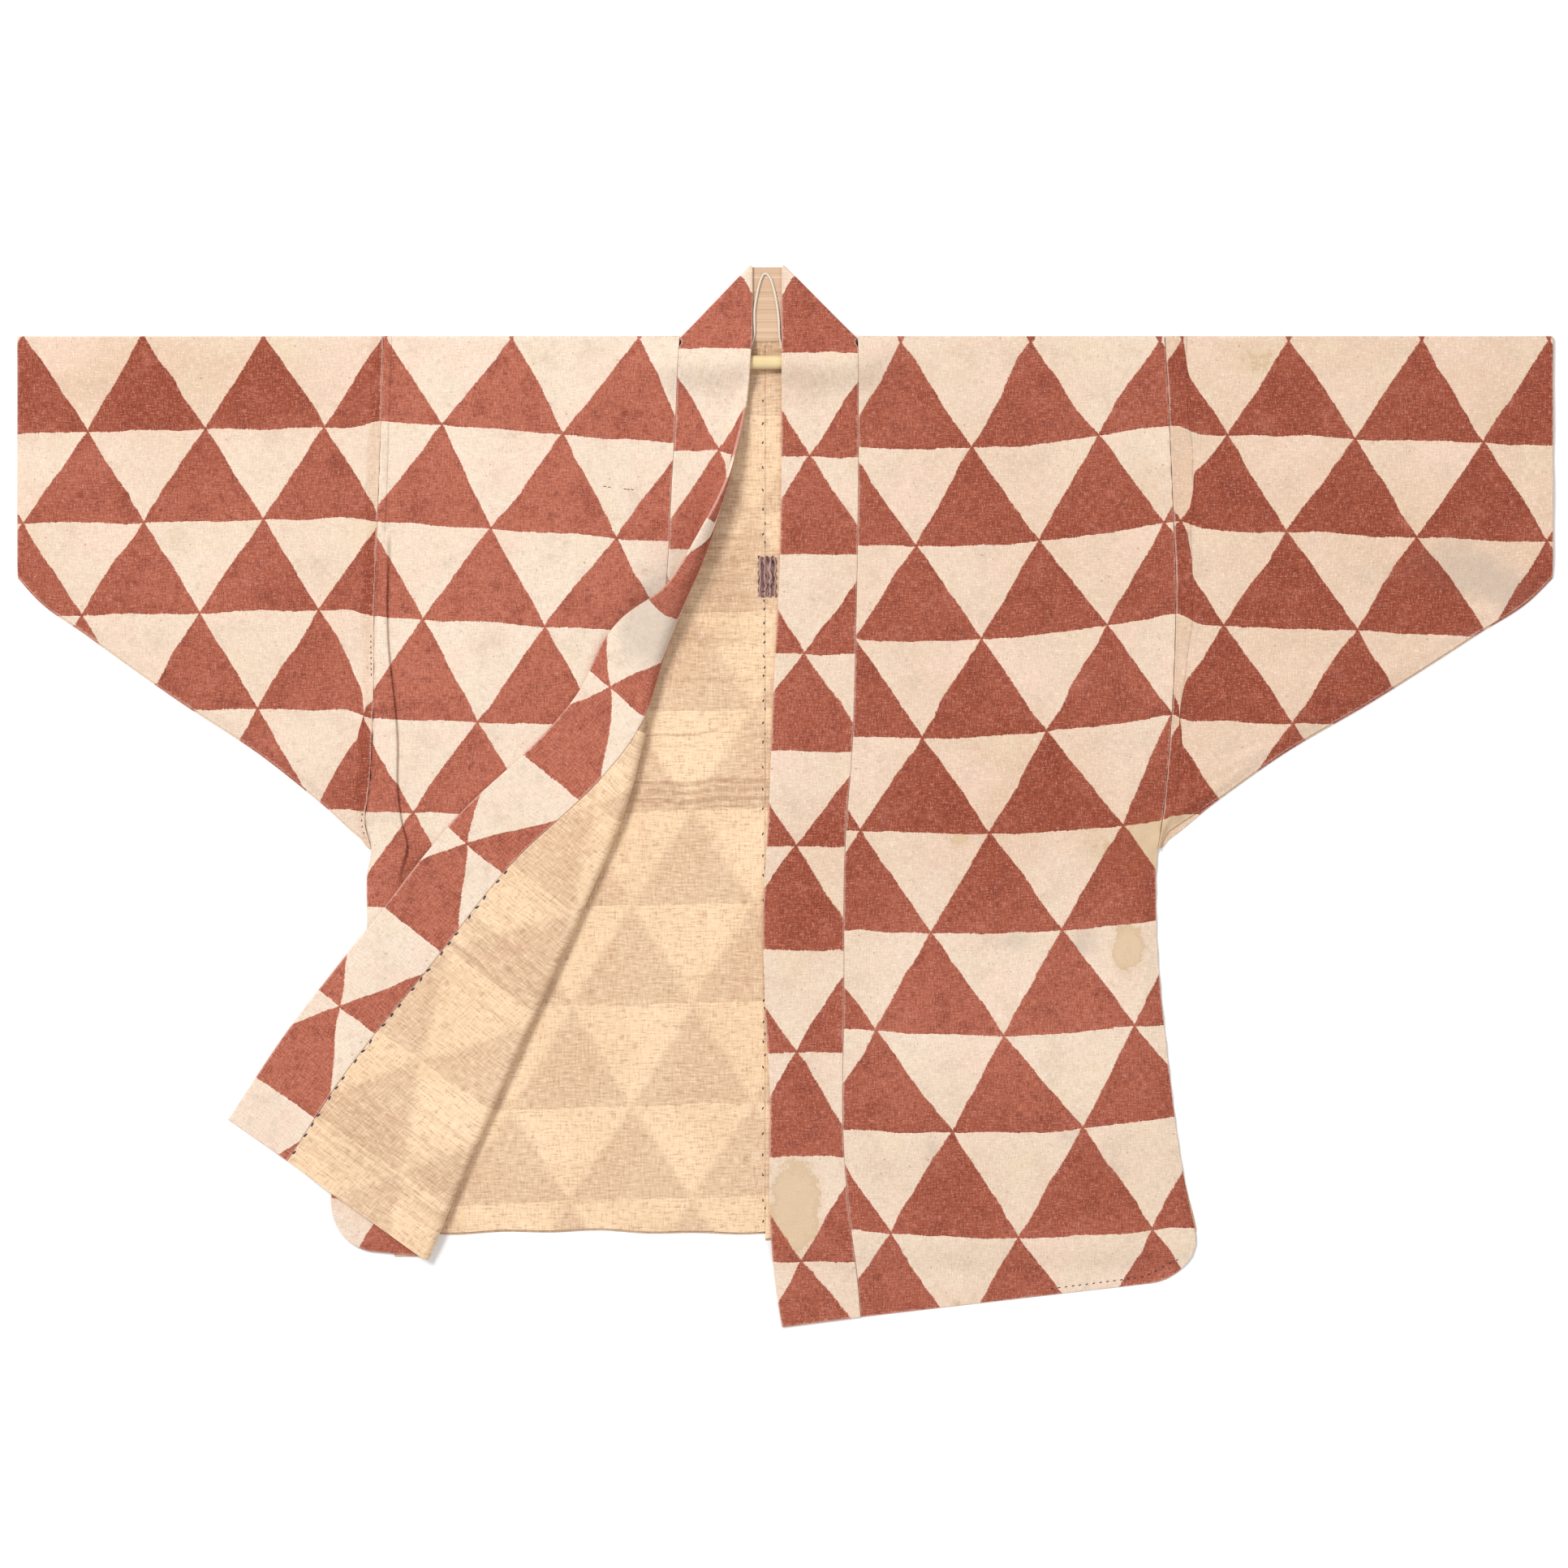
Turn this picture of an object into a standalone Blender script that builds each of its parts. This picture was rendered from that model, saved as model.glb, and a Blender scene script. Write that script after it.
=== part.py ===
"""Lined cotton happi coat, laid flat with its front side up and its left front turned back.

Frame: X runs across the coat from cuff to cuff, Y up towards the collar, Z up from the
surface that it lies on. The origin is under the middle of the coat. Sizes are in millimetres
and become metres when a mesh is made. Each cloth piece is a grid of points on the middle of
its wall, with the direction of its outer side at each point: rows run along the cloth's
length, columns across it, and the two faces of the wall lie half its thickness to each side.
"""
import math

import bpy
import numpy as np

MILLIMETRE = 0.001

# Cloth walls and the levels of their middle surfaces above the ground
OUTER_WALL = 1.2
LINING_WALL = 1.0
BAND_WALL = 2.6
SEAM_GAP = 0.4
BACK_LEVEL = 0.6
BACK_LINING_LEVEL = 2.0
FRONT_LEVEL = 4.7
SEWN_EDGE_LEVEL = 2.1
CUFF_LEVEL = 3.6
BAND_LEVEL = 4.2
NECK_BAND_LEVEL = 1.3
LINING_UNDER_OUTER = 1.4
BAND_UNDER_OUTER = 0.5

# Outline of the coat
SHOULDER_Y = 385.0
NECK_SEAM_Y = 381.0
COLLAR_TOP_Y = 444.6
NECK_LEFT_X = -88.0
NECK_RIGHT_X = 60.0
CENTRE_BACK_X = -16.7
CUFF_X = 643.6
UNDERARM_X = 345.0
LEFT_BACK_HEM_Y = -366.0
RIGHT_BACK_HEM_Y = -372.0
LEFT_FRONT_HEM_Y = -386.0
RIGHT_HEM_AT_BAND_Y = -437.0
RIGHT_HEM_AT_SIDE_Y = -404.0
BAND_BOTTOM_Y = -445.5
BAND_WIDTH = 60.5
HEM_CORNER = 38.0

# Edges that meet at seams: height y against place x across the coat
RIGHT_SIDE = (
    # y, x
    (388.0, 318.0),
    (257.0, 324.0),
    (144.0, 331.0),
    (75.0, 322.5),
    (-16.0, 316.5),
    (-48.0, 312.0),
    (-99.0, 311.0),
    (-213.0, 320.0),
    (-342.0, 338.5),
    (-372.0, 345.0),
    (-410.0, 347.0),
)
LEFT_SIDE = (
    # y, x
    (388.0, -336.3),
    (263.0, -340.3),
    (172.0, -343.7),
    (55.0, -345.8),
    (5.0, -348.5),
    (-23.0, -352.0),
    (-45.0, -347.0),
    (-66.0, -350.5),
    (-100.0, -350.5),
    (-220.0, -361.0),
    (-343.0, -379.0),
    (-390.0, -381.0),
)
RIGHT_BAND_SEAM = (
    # y, x
    (450.0, 60.0),
    (284.0, 61.5),
    (152.0, 59.5),
    (37.0, 56.0),
    (-33.0, 50.7),
    (-167.0, 49.3),
    (-299.0, 49.3),
    (-353.0, 54.0),
    (-400.0, 60.0),
    (-445.0, 64.0),
)
RIGHT_BAND_EDGE = (
    # y, x
    (450.0, -3.0),
    (324.0, -3.1),
    (204.0, -4.4),
    (77.0, -10.5),
    (-16.0, -14.0),
    (-100.0, -18.5),
    (-167.0, -17.3),
    (-255.0, -12.8),
    (-341.0, -13.3),
    (-400.0, -9.2),
    (-445.0, -1.0),
)
# Lower edge of a sleeve: distance from the coat's middle against height
SLEEVE_LOWER_EDGE = (
    # x, y
    (300.0, -50.0),
    (345.0, -40.0),
    (388.0, -4.0),
    (436.0, 34.0),
    (509.0, 82.0),
    (588.0, 138.0),
    (629.0, 168.0),
    (645.0, 186.0),
)
# Left front where it turns back: the row's height y, the place x where the cloth starts to
# bend, the radius of the bend, the seam's distance along the cloth past that place, and the
# direction in degrees above -X in which the turned cloth lies
LEFT_TURN = (
    # y, start_x, radius, seam_arc, angle
    (388.0, -12.0, 15.0, -76.0, 42.0),
    (345.0, -38.0, 15.0, -52.5, 42.0),
    (315.0, -50.0, 15.0, -42.0, 42.0),
    (264.0, -60.7, 14.0, -34.3, 42.0),
    (201.0, -79.8, 13.0, -18.2, 42.0),
    (166.0, -91.0, 10.5, -9.6, 42.0),
    (100.0, -113.0, 6.5, 6.0, 42.0),
    (45.0, -125.4, 5.0, 19.0, 42.0),
    (0.0, -136.5, 4.5, 37.0, 41.0),
    (-100.0, -177.4, 4.0, 80.0, 40.0),
    (-200.0, -223.0, 4.0, 106.6, 38.0),
    (-300.0, -267.7, 4.0, 134.0, 36.0),
    (-390.0, -305.5, 4.0, 152.5, 35.0),
)
# The bend of the turned front leans this many degrees below +X, square to its crease
TURN_LEAN = 21.0
TURN_SETTLE = 70.0
TURN_REST = 6.9
FLOOR_REST = 0.8
# Left armhole tuck: the row's height y, how far its edge lies from the seam, how high it
# stands and how much of it is folded under
LEFT_TUCK = (
    # y, edge, height, under
    (388.0, 10.0, 0.0, 0.0),
    (240.0, 10.0, 0.0, 0.0),
    (225.0, 10.0, 0.0, 0.0),
    (205.0, 10.0, 1.0, 0.0),
    (192.0, 10.0, 1.0, 0.0),
    (186.0, 10.0, 1.0, 0.35),
    (180.0, 10.0, 1.0, 1.0),
    (165.0, 10.0, 1.0, 1.0),
    (135.0, 11.0, 1.0, 1.0),
    (44.0, 21.0, 1.0, 1.0),
    (7.0, 23.0, 1.0, 1.0),
    (-27.0, 31.0, 1.0, 1.0),
    (-44.0, 30.0, 1.0, 1.0),
    (-50.0, 29.3, 1.0, 0.1),
    (-54.0, 28.8, 1.0, 0.0),
    (-60.0, 28.0, 1.0, 0.0),
    (-75.0, 28.0, 0.0, 0.0),
    (-100.0, 28.0, 0.0, 0.0),
    (-390.0, 28.0, 0.0, 0.0),
)
# Section of the tuck from the seam inwards, folded under and as a plain step: each point's
# distance from the seam as a share of the edge's and a length, and its height
TUCK_SECTION = (
    # under_share, under_x, under_z, step_share, step_x, step_z
    (0.0, 0.0, 0.0, 0.0, 0.0, 0.0),
    (0.0, 1.5, 1.9, 0.0, 1.5, 1.9),
    (0.0, 4.0, 3.8, 0.0, 4.0, 3.8),
    (1.0, -1.0, 3.8, 1.0, -1.5, 3.8),
    (1.0, 0.0, 2.85, 1.0, -0.7, 3.0),
    (1.0, -1.0, 1.9, 1.0, 0.0, 2.2),
    (0.5, 2.0, 1.9, 1.0, 0.9, 1.4),
    (0.5, 1.05, 0.95, 1.0, 1.8, 0.7),
    (0.5, 2.0, 0.0, 1.0, 2.8, 0.0),
    (1.0, 8.0, 0.0, 1.0, 8.0, 0.0),
)
# Soft ridges (+) and troughs (-) in the upper cloth
FOLDS = (
    # x1, y1, x2, y2, width, height
    (292.0, 20.0, 296.0, -38.0, 7.0, 2.6),
    (352.0, -2.0, 393.0, 20.0, 8.0, 2.2),
    (322.0, -22.0, 345.0, -10.0, 10.0, 2.4),
    (300.0, -75.0, 312.0, -55.0, 12.0, 1.8),
    (-430.0, 40.0, -365.0, 10.0, 16.0, 1.6),
    (-560.0, 330.0, -540.0, 150.0, 30.0, 1.2),
    (430.0, 350.0, 445.0, 60.0, 32.0, 1.2),
    (560.0, 350.0, 545.0, 160.0, 26.0, 1.0),
    (205.0, 120.0, 200.0, -260.0, 26.0, 1.2),
    (110.0, 60.0, 118.0, -330.0, 24.0, 1.0),
    (270.0, -140.0, 290.0, -390.0, 22.0, 1.4),
    (-250.0, 330.0, -262.0, 60.0, 24.0, 1.2),
    (-170.0, 340.0, -178.0, 130.0, 22.0, 1.0),
)

# Hanging rod and cord
ROD_RADIUS = 6.0
ROD_Y = 363.0
ROD_LEFT_X = -76.0
ROD_RIGHT_X = 48.0
ROD_LEVEL = 8.8
ROD_LIFT = 13.2
ROD_LIFT_LENGTH = 14.0
ROD_LIFT_SPREAD = 26.0
CORD_RADIUS = 1.0
CORD_ROUTE = (
    # x, y, z
    (-30.6, 370.4, 6.6),
    (-29.4, 375.6, 5.2),
    (-27.2, 381.4, 4.2),
    (-25.8, 389.0, 3.8),
    (-25.8, 405.0, 3.8),
    (-24.8, 414.0, 3.8),
    (-22.0, 428.0, 3.8),
    (-18.8, 436.4, 3.8),
    (-15.6, 437.6, 3.8),
    (-12.0, 433.0, 3.8),
    (-8.8, 422.0, 3.8),
    (-6.6, 410.0, 3.8),
    (-5.4, 399.0, 3.8),
    (-4.9, 388.0, 3.8),
    (-4.0, 381.0, 4.2),
    (-2.4, 375.6, 5.2),
    (-1.4, 370.4, 6.6),
)

# Heights of the rows. Those of the armhole are shared by the body and the sleeves, and those
# over the rod lie closer together.
FRONT_TOP_Y = 383.0
UNDERARM_Y = -44.0
ROD_ROWS = (375.0, 369.0, 363.0, 357.0, 351.0)
BAND_OVER_ROD_ROWS = (366.0, 360.0)
TUCK_END_ROWS = (192.0, 186.0, 180.0, -50.0, -54.0, -60.0, -75.0)
ARMHOLE_ROWS = (335.0, 290.0, 245.0, 205.0, 165.0, 125.0, 90.0, 55.0, 20.0, -10.0, UNDERARM_Y)
APEX_ROWS = (110.0, 100.0, 72.0)
SKIRT_ROWS = (-100.0, -150.0, -200.0, -250.0, -300.0, -345.0)
LEFT_HEM_ROWS = (-366.0, -376.0, LEFT_FRONT_HEM_Y)
RIGHT_HEM_ROWS = (-374.0, -388.0, -402.0, -420.0, RIGHT_HEM_AT_BAND_Y)
FRONT_ROWS = (FRONT_TOP_Y,) + ROD_ROWS + ARMHOLE_ROWS + SKIRT_ROWS
BACK_ARMHOLE_ROWS = (290.0, 205.0, 125.0, 55.0, -10.0, UNDERARM_Y)
BACK_SKIRT_ROWS = (-100.0, -200.0, -300.0)
SHOULDER_STEPS = 4
UP = np.array([0.0, 0.0, 1.0])

COLOURS = {
    "outer": (0.50, 0.16, 0.10),
    "lining": (0.74, 0.55, 0.33),
    "patch": (0.12, 0.05, 0.05),
    "rod": (0.78, 0.62, 0.34),
    "cord": (0.82, 0.76, 0.64),
}


def smooth(low, high, value):
    """0 up to low, 1 from high on, and an even slope in between."""
    share = np.clip((value - low) / (high - low), 0.0, 1.0)
    return share * share * (3.0 - 2.0 * share)


def read(table, value, column=1):
    """Smooth curve through a table's first column and the named one, read at value."""
    rows = np.array(sorted(table), dtype=float)
    station = rows[:, 0]
    level = rows[:, column]
    slope = np.gradient(level, station)
    value = np.clip(value, station[0], station[-1])
    row = np.clip(np.searchsorted(station, value) - 1, 0, len(station) - 2)
    length = station[row + 1] - station[row]
    share = (value - station[row]) / length
    rise = level[row + 1] - level[row]
    start = slope[row] * length - rise
    end = rise - slope[row + 1] * length
    bulge = share * (1.0 - share) * (start * (1.0 - share) + end * share)
    return level[row] + share * rise + bulge


def fold_relief(x, y):
    """Sum of the soft ridges and troughs: a bell across each line, fading at its ends."""
    total = np.zeros(np.broadcast(x, y).shape)
    for x1, y1, x2, y2, width, height in FOLDS:
        length = math.hypot(x2 - x1, y2 - y1)
        along = ((x - x1) * (x2 - x1) + (y - y1) * (y2 - y1)) / length
        across = ((x - x1) * (y2 - y1) - (y - y1) * (x2 - x1)) / length
        ends = smooth(-width, width, along) * smooth(-width, width, length - along)
        total = total + height * ends * np.exp(-(across / width) ** 2)
    return total


def rod_lift(x, y):
    """Rise of the cloth over the rod: a bell along Y, full over the neck, fading beside it."""
    beside = np.maximum(np.maximum(NECK_LEFT_X - x, x - NECK_RIGHT_X), 0.0)
    across = np.exp(-(beside / ROD_LIFT_SPREAD) ** 2)
    return ROD_LIFT * across * np.exp(-((y - ROD_Y) / ROD_LIFT_LENGTH) ** 2)


def right_front_level(x, y):
    """Height of the right front: flat, down to the back at the side seam and past the hem."""
    inside = read(RIGHT_SIDE, y) - x
    sewn = smooth(0.0, 14.0, inside) + smooth(-52.0, -38.0, y)
    level = SEWN_EDGE_LEVEL + (FRONT_LEVEL - SEWN_EDGE_LEVEL) * np.clip(sewn, 0.0, 1.0)
    past_hem = smooth(RIGHT_BACK_HEM_Y - 4.0, RIGHT_BACK_HEM_Y - 30.0, y)
    level = level * (1.0 - past_hem) + BACK_LEVEL * past_hem
    keep = smooth(0.0, 10.0, inside) * (1.0 - past_hem)
    return level + rod_lift(x, y) + fold_relief(x, y) * keep


def left_front_level(x, y):
    """Height of the left front, with the lining under it near the hem."""
    inside = x - read(LEFT_SIDE, y)
    sewn = smooth(0.0, 14.0, inside) + smooth(-52.0, -38.0, y)
    level = SEWN_EDGE_LEVEL + (FRONT_LEVEL - SEWN_EDGE_LEVEL) * np.clip(sewn, 0.0, 1.0)
    past_hem = smooth(LEFT_BACK_HEM_Y - 2.0, LEFT_BACK_HEM_Y - 22.0, y)
    level = level * (1.0 - past_hem) + 2.5 * past_hem
    keep = smooth(40.0, 60.0, y) * smooth(50.0, 70.0, inside)
    return level + rod_lift(x, y) + fold_relief(x, y) * keep


def turned_rest_level(x, y):
    """Height of the turned front: on the left front, over its side seam, down to the ground."""
    inside = x - read(LEFT_SIDE, y)
    on_coat = smooth(-34.0, -2.0, inside)
    tuck = 5.0 * np.exp(-((x + 318.0) ** 2 + (y + 60.0) ** 2) / 20.0 ** 2)
    return FLOOR_REST + (TURN_REST - FLOOR_REST) * on_coat + tuck


def turned(row_y, arc, under):
    """Point of the left front at arc past its bend, under millimetres below the outer cloth.

    Before the bend the cloth lies flat. Then it runs round half a circle, and after that in a
    straight line over the front, sinking to what lies under it.
    """
    start_x = read(LEFT_TURN, row_y, 1)
    radius = read(LEFT_TURN, row_y, 2)
    angle = np.radians(read(LEFT_TURN, row_y, 4))
    lean = math.radians(TURN_LEAN)
    bend = np.clip(arc / radius, 0.0, math.pi)
    past = np.maximum(arc - math.pi * radius, 0.0)
    before = np.minimum(arc, 0.0)
    out = (radius + under) * np.sin(bend)
    x = start_x + before + out * math.cos(lean) - past * np.cos(angle)
    y = row_y - out * math.sin(lean) + past * np.sin(angle)
    base = left_front_level(start_x + before, row_y)
    height = radius - (radius + under) * np.cos(bend)
    rest = turned_rest_level(x, y)
    sink = smooth(0.0, TURN_SETTLE, past)
    over = base + 2.0 * radius
    z_turned = over + (rest - over) * sink + under
    z = np.where(past > 0.0, z_turned, base + height)
    return np.stack([x, y, z], axis=-1)


def turned_outward(row_y, arc):
    """Direction of the outer cloth's upper side before the bend, carried round it."""
    return turned(row_y, arc, -0.5) - turned(row_y, arc, 0.5)


def left_arc_columns(row_y, bend_steps, turned_steps):
    """Arc distances of a row's columns at the bend and past it, squeezed where there is none."""
    seam = read(LEFT_TURN, row_y, 3) - SEAM_GAP
    half_turn = math.pi * read(LEFT_TURN, row_y, 2)
    first = np.minimum(0.0, seam - 8.0)
    middle = np.minimum(half_turn, 0.5 * (first + seam))
    bend = first + (middle - first) * np.linspace(0.0, 1.0, bend_steps + 1)
    past = middle + (seam - middle) * np.linspace(0.0, 1.0, turned_steps + 1)[1:]
    return np.concatenate([bend, past])


def plain_material(kind):
    """Plain material of a cloth, rod or cord."""
    material = bpy.data.materials.get(kind)
    if material is None:
        material = bpy.data.materials.new(kind)
        material.use_nodes = True
        shader = material.node_tree.nodes["Principled BSDF"]
        shader.inputs["Base Color"].default_value = COLOURS[kind] + (1.0,)
        shader.inputs["Roughness"].default_value = 0.55 if kind == "rod" else 0.95
        shader.inputs["Metallic"].default_value = 0.0
    return material


def cloth_piece(name, grid, outward, wall, kind, keep=None):
    """Wall of cloth about a grid of middle points, closed along its edges.

    outward is the direction of the outer side at each point, and keep marks the cells of the
    grid that the cloth has.
    """
    rows, columns = grid.shape[:2]
    if keep is None:
        keep = np.ones((rows - 1, columns - 1), dtype=bool)
    outward = np.broadcast_to(outward, grid.shape)
    index = np.arange(rows * columns).reshape(rows, columns)
    cells = np.stack([index[:-1, :-1], index[:-1, 1:], index[1:, 1:], index[1:, :-1]], axis=-1)
    used, cells = np.unique(cells[keep], return_inverse=True)
    cells = cells.reshape(-1, 4)
    middle = grid.reshape(-1, 3)[used]
    side = outward.reshape(-1, 3)[used]
    across = np.cross(middle[cells[:, 2]] - middle[cells[:, 0]],
                      middle[cells[:, 3]] - middle[cells[:, 1]])
    if np.sum(across * side[cells[:, 0]]) < 0.0:
        cells = cells[:, [1, 0, 3, 2]]
    outer = middle + side * wall / 2.0
    inner = middle - side * wall / 2.0
    count = len(middle)
    edges = np.concatenate([np.stack([cells[:, k], cells[:, (k + 1) % 4]], axis=1)
                            for k in range(4)])
    shared = set(map(tuple, edges[:, ::-1].tolist()))
    edges = edges.tolist()
    halves = np.concatenate([cells[:, [0, 1, 2]], cells[:, [0, 2, 3]]])
    faces = halves.tolist() + (halves[:, ::-1] + count).tolist()
    for start, end in edges:
        if (start, end) in shared:
            continue
        if middle[start, 1] > middle[end, 1]:
            faces += [(end, start, end + count), (start, start + count, end + count)]
        else:
            faces += [(end, start, start + count), (end, start + count, end + count)]
    mesh = bpy.data.meshes.new(name)
    points = np.concatenate([outer, inner]) * MILLIMETRE
    mesh.from_pydata(points.tolist(), [], faces)
    mesh.materials.append(plain_material(kind))
    piece = bpy.data.objects.new(name, mesh)
    coat.objects.link(piece)
    return piece


def over_the_shoulder(front_row):
    """Rows from a front's top row round the shoulder fold to the back, and their outer side."""
    turn = np.linspace(0.0, math.pi, SHOULDER_STEPS + 1)[1:-1, None]
    x, y, level = front_row[:, 0], front_row[:, 1], front_row[:, 2]
    middle = (level + BACK_LEVEL) / 2.0
    half = (level - BACK_LEVEL) / 2.0
    rows_y = y + (SHOULDER_Y - FRONT_TOP_Y) * np.sin(turn)
    rows_z = middle + half * np.cos(turn)
    rows = np.stack([np.broadcast_to(x, rows_y.shape), rows_y, rows_z], axis=-1)
    outward = np.stack([np.zeros_like(rows_y), np.broadcast_to(np.sin(turn), rows_y.shape),
                        np.broadcast_to(np.cos(turn), rows_y.shape)], axis=-1)
    return rows, outward


def rounded_hem(share, at_seam, at_side, corner_share):
    """Height of the hem across a front, with a round corner at the side."""
    line = at_seam + (at_side - at_seam) * share
    corner = np.clip((share - 1.0 + corner_share) / corner_share, 0.0, 1.0)
    return line + HEM_CORNER * (1.0 - np.sqrt(1.0 - corner ** 2))


def body_grid(front, front_outward, neck_columns, back_hem, side):
    """Front, shoulder fold and back of one body length as a single grid.

    The back has extra columns towards the centre-back seam, because its neck edge is wider
    than the front's.
    """
    columns = front.shape[1]
    shoulder, shoulder_outward = over_the_shoulder(front[0])
    top = NECK_SEAM_Y - SEAM_GAP
    rows = np.array((top,) + BACK_ARMHOLE_ROWS + BACK_SKIRT_ROWS + (back_hem,))[:, None]
    seam_x = front[0, 0, 0]
    spread = (front[0, :, 0] - seam_x) / (front[0, -1, 0] - seam_x)
    back_x = seam_x + spread * (read(side, rows) - seam_x)
    gap = math.copysign(SEAM_GAP / 2.0, seam_x - CENTRE_BACK_X)
    neck_x = np.linspace(CENTRE_BACK_X + gap, seam_x, neck_columns + 1)[:-1] + 0.0 * rows
    x = np.concatenate([neck_x, back_x], axis=1)
    back = np.stack([x, rows + 0.0 * x, np.full_like(x, BACK_LEVEL)], axis=-1)
    upper = np.concatenate([front[::-1], shoulder])
    upper = np.concatenate([np.repeat(upper[:, :1], neck_columns, axis=1), upper], axis=1)
    outward = np.concatenate([front_outward[::-1], shoulder_outward])
    outward = np.concatenate([np.repeat(outward[:, :1], neck_columns, axis=1), outward], axis=1)
    grid = np.concatenate([upper, back])
    outward = np.concatenate([outward, np.broadcast_to(-UP, back.shape)])
    keep = np.ones((grid.shape[0] - 1, columns + neck_columns - 1), dtype=bool)
    keep[:len(upper), :neck_columns] = False
    return grid, outward, keep


def left_rows(*extra):
    """Heights of the left front's rows, closer at the crease's top and the tuck's ends."""
    rows = FRONT_ROWS + APEX_ROWS + TUCK_END_ROWS + LEFT_HEM_ROWS + extra
    return sorted(rows, reverse=True)


def right_rows(*extra):
    """Heights of the right front's rows at the band seam."""
    return np.array(sorted(FRONT_ROWS + RIGHT_HEM_ROWS + extra, reverse=True))


def right_front_grid():
    """Middle surface of the right front, rows from the shoulder to the hem."""
    share = np.array([0.0, 0.14, 0.30, 0.46, 0.62, 0.75, 0.86, 0.91, 0.95, 0.98, 1.0])
    hem = rounded_hem(share, RIGHT_HEM_AT_BAND_Y, RIGHT_HEM_AT_SIDE_Y, 0.14)
    rows = right_rows()[:, None]
    y = rows + (hem - RIGHT_HEM_AT_BAND_Y) * smooth(-200.0, RIGHT_HEM_AT_BAND_Y, rows)
    seam_x = read(RIGHT_BAND_SEAM, y) + SEAM_GAP
    x = seam_x + share * (read(RIGHT_SIDE, y) - seam_x)
    return np.stack([x, y, right_front_level(x, y)], axis=-1)


def tuck_section(row_y):
    """Distance from the seam and height of the points of the tuck's section in a row."""
    section = np.array(TUCK_SECTION)
    edge = read(LEFT_TUCK, row_y, 1)
    height = np.clip(read(LEFT_TUCK, row_y, 2), 0.0, 1.0)
    under = np.clip(read(LEFT_TUCK, row_y, 3), 0.0, 1.0)
    folded = section[:, 0] * edge + section[:, 1]
    step = section[:, 3] * edge + section[:, 4]
    x = step + (folded - step) * under
    z = section[:, 5] + (section[:, 2] - section[:, 5]) * under
    return x, z * height


def tuck_outward(x, z):
    """Outer side along the tuck's section, square to it, straight up at its two ends."""
    run_x = np.gradient(x)
    run_z = np.gradient(z)
    length = np.hypot(run_x, run_z)
    outward = np.stack([-run_z / length, np.zeros_like(x), run_x / length], axis=-1)
    outward[[0, -1]] = UP
    return outward


def left_front_grid():
    """Middle surface of the left front: tuck, flat part, bend and turned part."""
    grid, outward = [], []
    for row_y in left_rows():
        side_x = read(LEFT_SIDE, row_y)
        tuck_x, tuck_z = tuck_section(row_y)
        tuck_x = side_x + tuck_x
        arcs = left_arc_columns(row_y, 4, 4)
        bend_x = read(LEFT_TURN, row_y, 1) + arcs[0]
        flat_x = np.linspace(tuck_x[-1], bend_x, 5)[1:-1]
        x = np.concatenate([tuck_x, flat_x])
        share = np.clip((bend_x - x) / (bend_x - side_x), 0.0, 1.0)
        hem = rounded_hem(share, LEFT_FRONT_HEM_Y, LEFT_FRONT_HEM_Y + 8.0, 0.45)
        y = row_y + (hem - LEFT_FRONT_HEM_Y) * smooth(-250.0, LEFT_FRONT_HEM_Y, row_y)
        z = left_front_level(x, y)
        z[:len(tuck_z)] += tuck_z
        flat_outward = np.tile(UP, (len(x), 1))
        flat_outward[:len(tuck_z)] = tuck_outward(tuck_x, tuck_z)
        grid.append(np.concatenate([np.stack([x, y, z], axis=-1), turned(row_y, arcs, 0.0)]))
        outward.append(np.concatenate([flat_outward, turned_outward(row_y, arcs)]))
    return np.array(grid)[:, ::-1], np.array(outward)[:, ::-1]


def make_right_body():
    """Right body length: front, shoulder fold and back."""
    front = right_front_grid()
    outward = np.broadcast_to(UP, front.shape)
    grid, outward, keep = body_grid(front, outward, 2, RIGHT_BACK_HEM_Y, RIGHT_SIDE)
    return cloth_piece("body_right", grid, outward, OUTER_WALL, "outer", keep)


def make_left_body():
    """Left body length, its front edge turned back along a soft crease."""
    front, outward = left_front_grid()
    grid, outward, keep = body_grid(front, outward, 2, LEFT_BACK_HEM_Y, LEFT_SIDE)
    return cloth_piece("body_left", grid, outward, OUTER_WALL, "outer", keep)


def make_left_front_lining():
    """Lining of the turned front: under its edge, round the bend and over the turned part."""
    grid, outward = [], []
    for row_y in left_rows():
        if row_y < 60.0:
            arcs = left_arc_columns(row_y, 4, 4)
            arcs = np.concatenate([arcs[0] + np.array([-24.0, -12.0]), arcs])
            grid.append(turned(row_y, arcs, LINING_UNDER_OUTER))
            outward.append(turned_outward(row_y, arcs))
    return cloth_piece("lining_front_left", np.array(grid), np.array(outward), LINING_WALL,
                       "lining")


def make_back_lining(name, side, neck_x, hem_y):
    """Half of the back lining, flat on the back from the centre seam to near the side."""
    rows = np.array([NECK_SEAM_Y - SEAM_GAP, 290.0, 205.0, 125.0, 55.0, -10.0, -44.0, -200.0,
                     hem_y])[:, None]
    away = math.copysign(1.0, neck_x - CENTRE_BACK_X)
    centre_x = CENTRE_BACK_X + away * SEAM_GAP / 2.0
    x = centre_x + np.linspace(0.0, 1.0, 3) * (read(side, rows) - away * 18.0 - centre_x)
    grid = np.stack([x, rows + 0.0 * x, np.full_like(x, BACK_LINING_LEVEL)], axis=-1)
    return cloth_piece(name, grid, UP, LINING_WALL, "lining")


def sleeve_rows(rows, lower, extra):
    """Heights of a sleeve's points: the armhole's rows drawn in towards its lower edge."""
    down = (FRONT_TOP_Y - np.array(rows)[:, None]) / (FRONT_TOP_Y - UNDERARM_Y)
    return FRONT_TOP_Y + down * (lower - extra * down - FRONT_TOP_Y)


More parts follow.
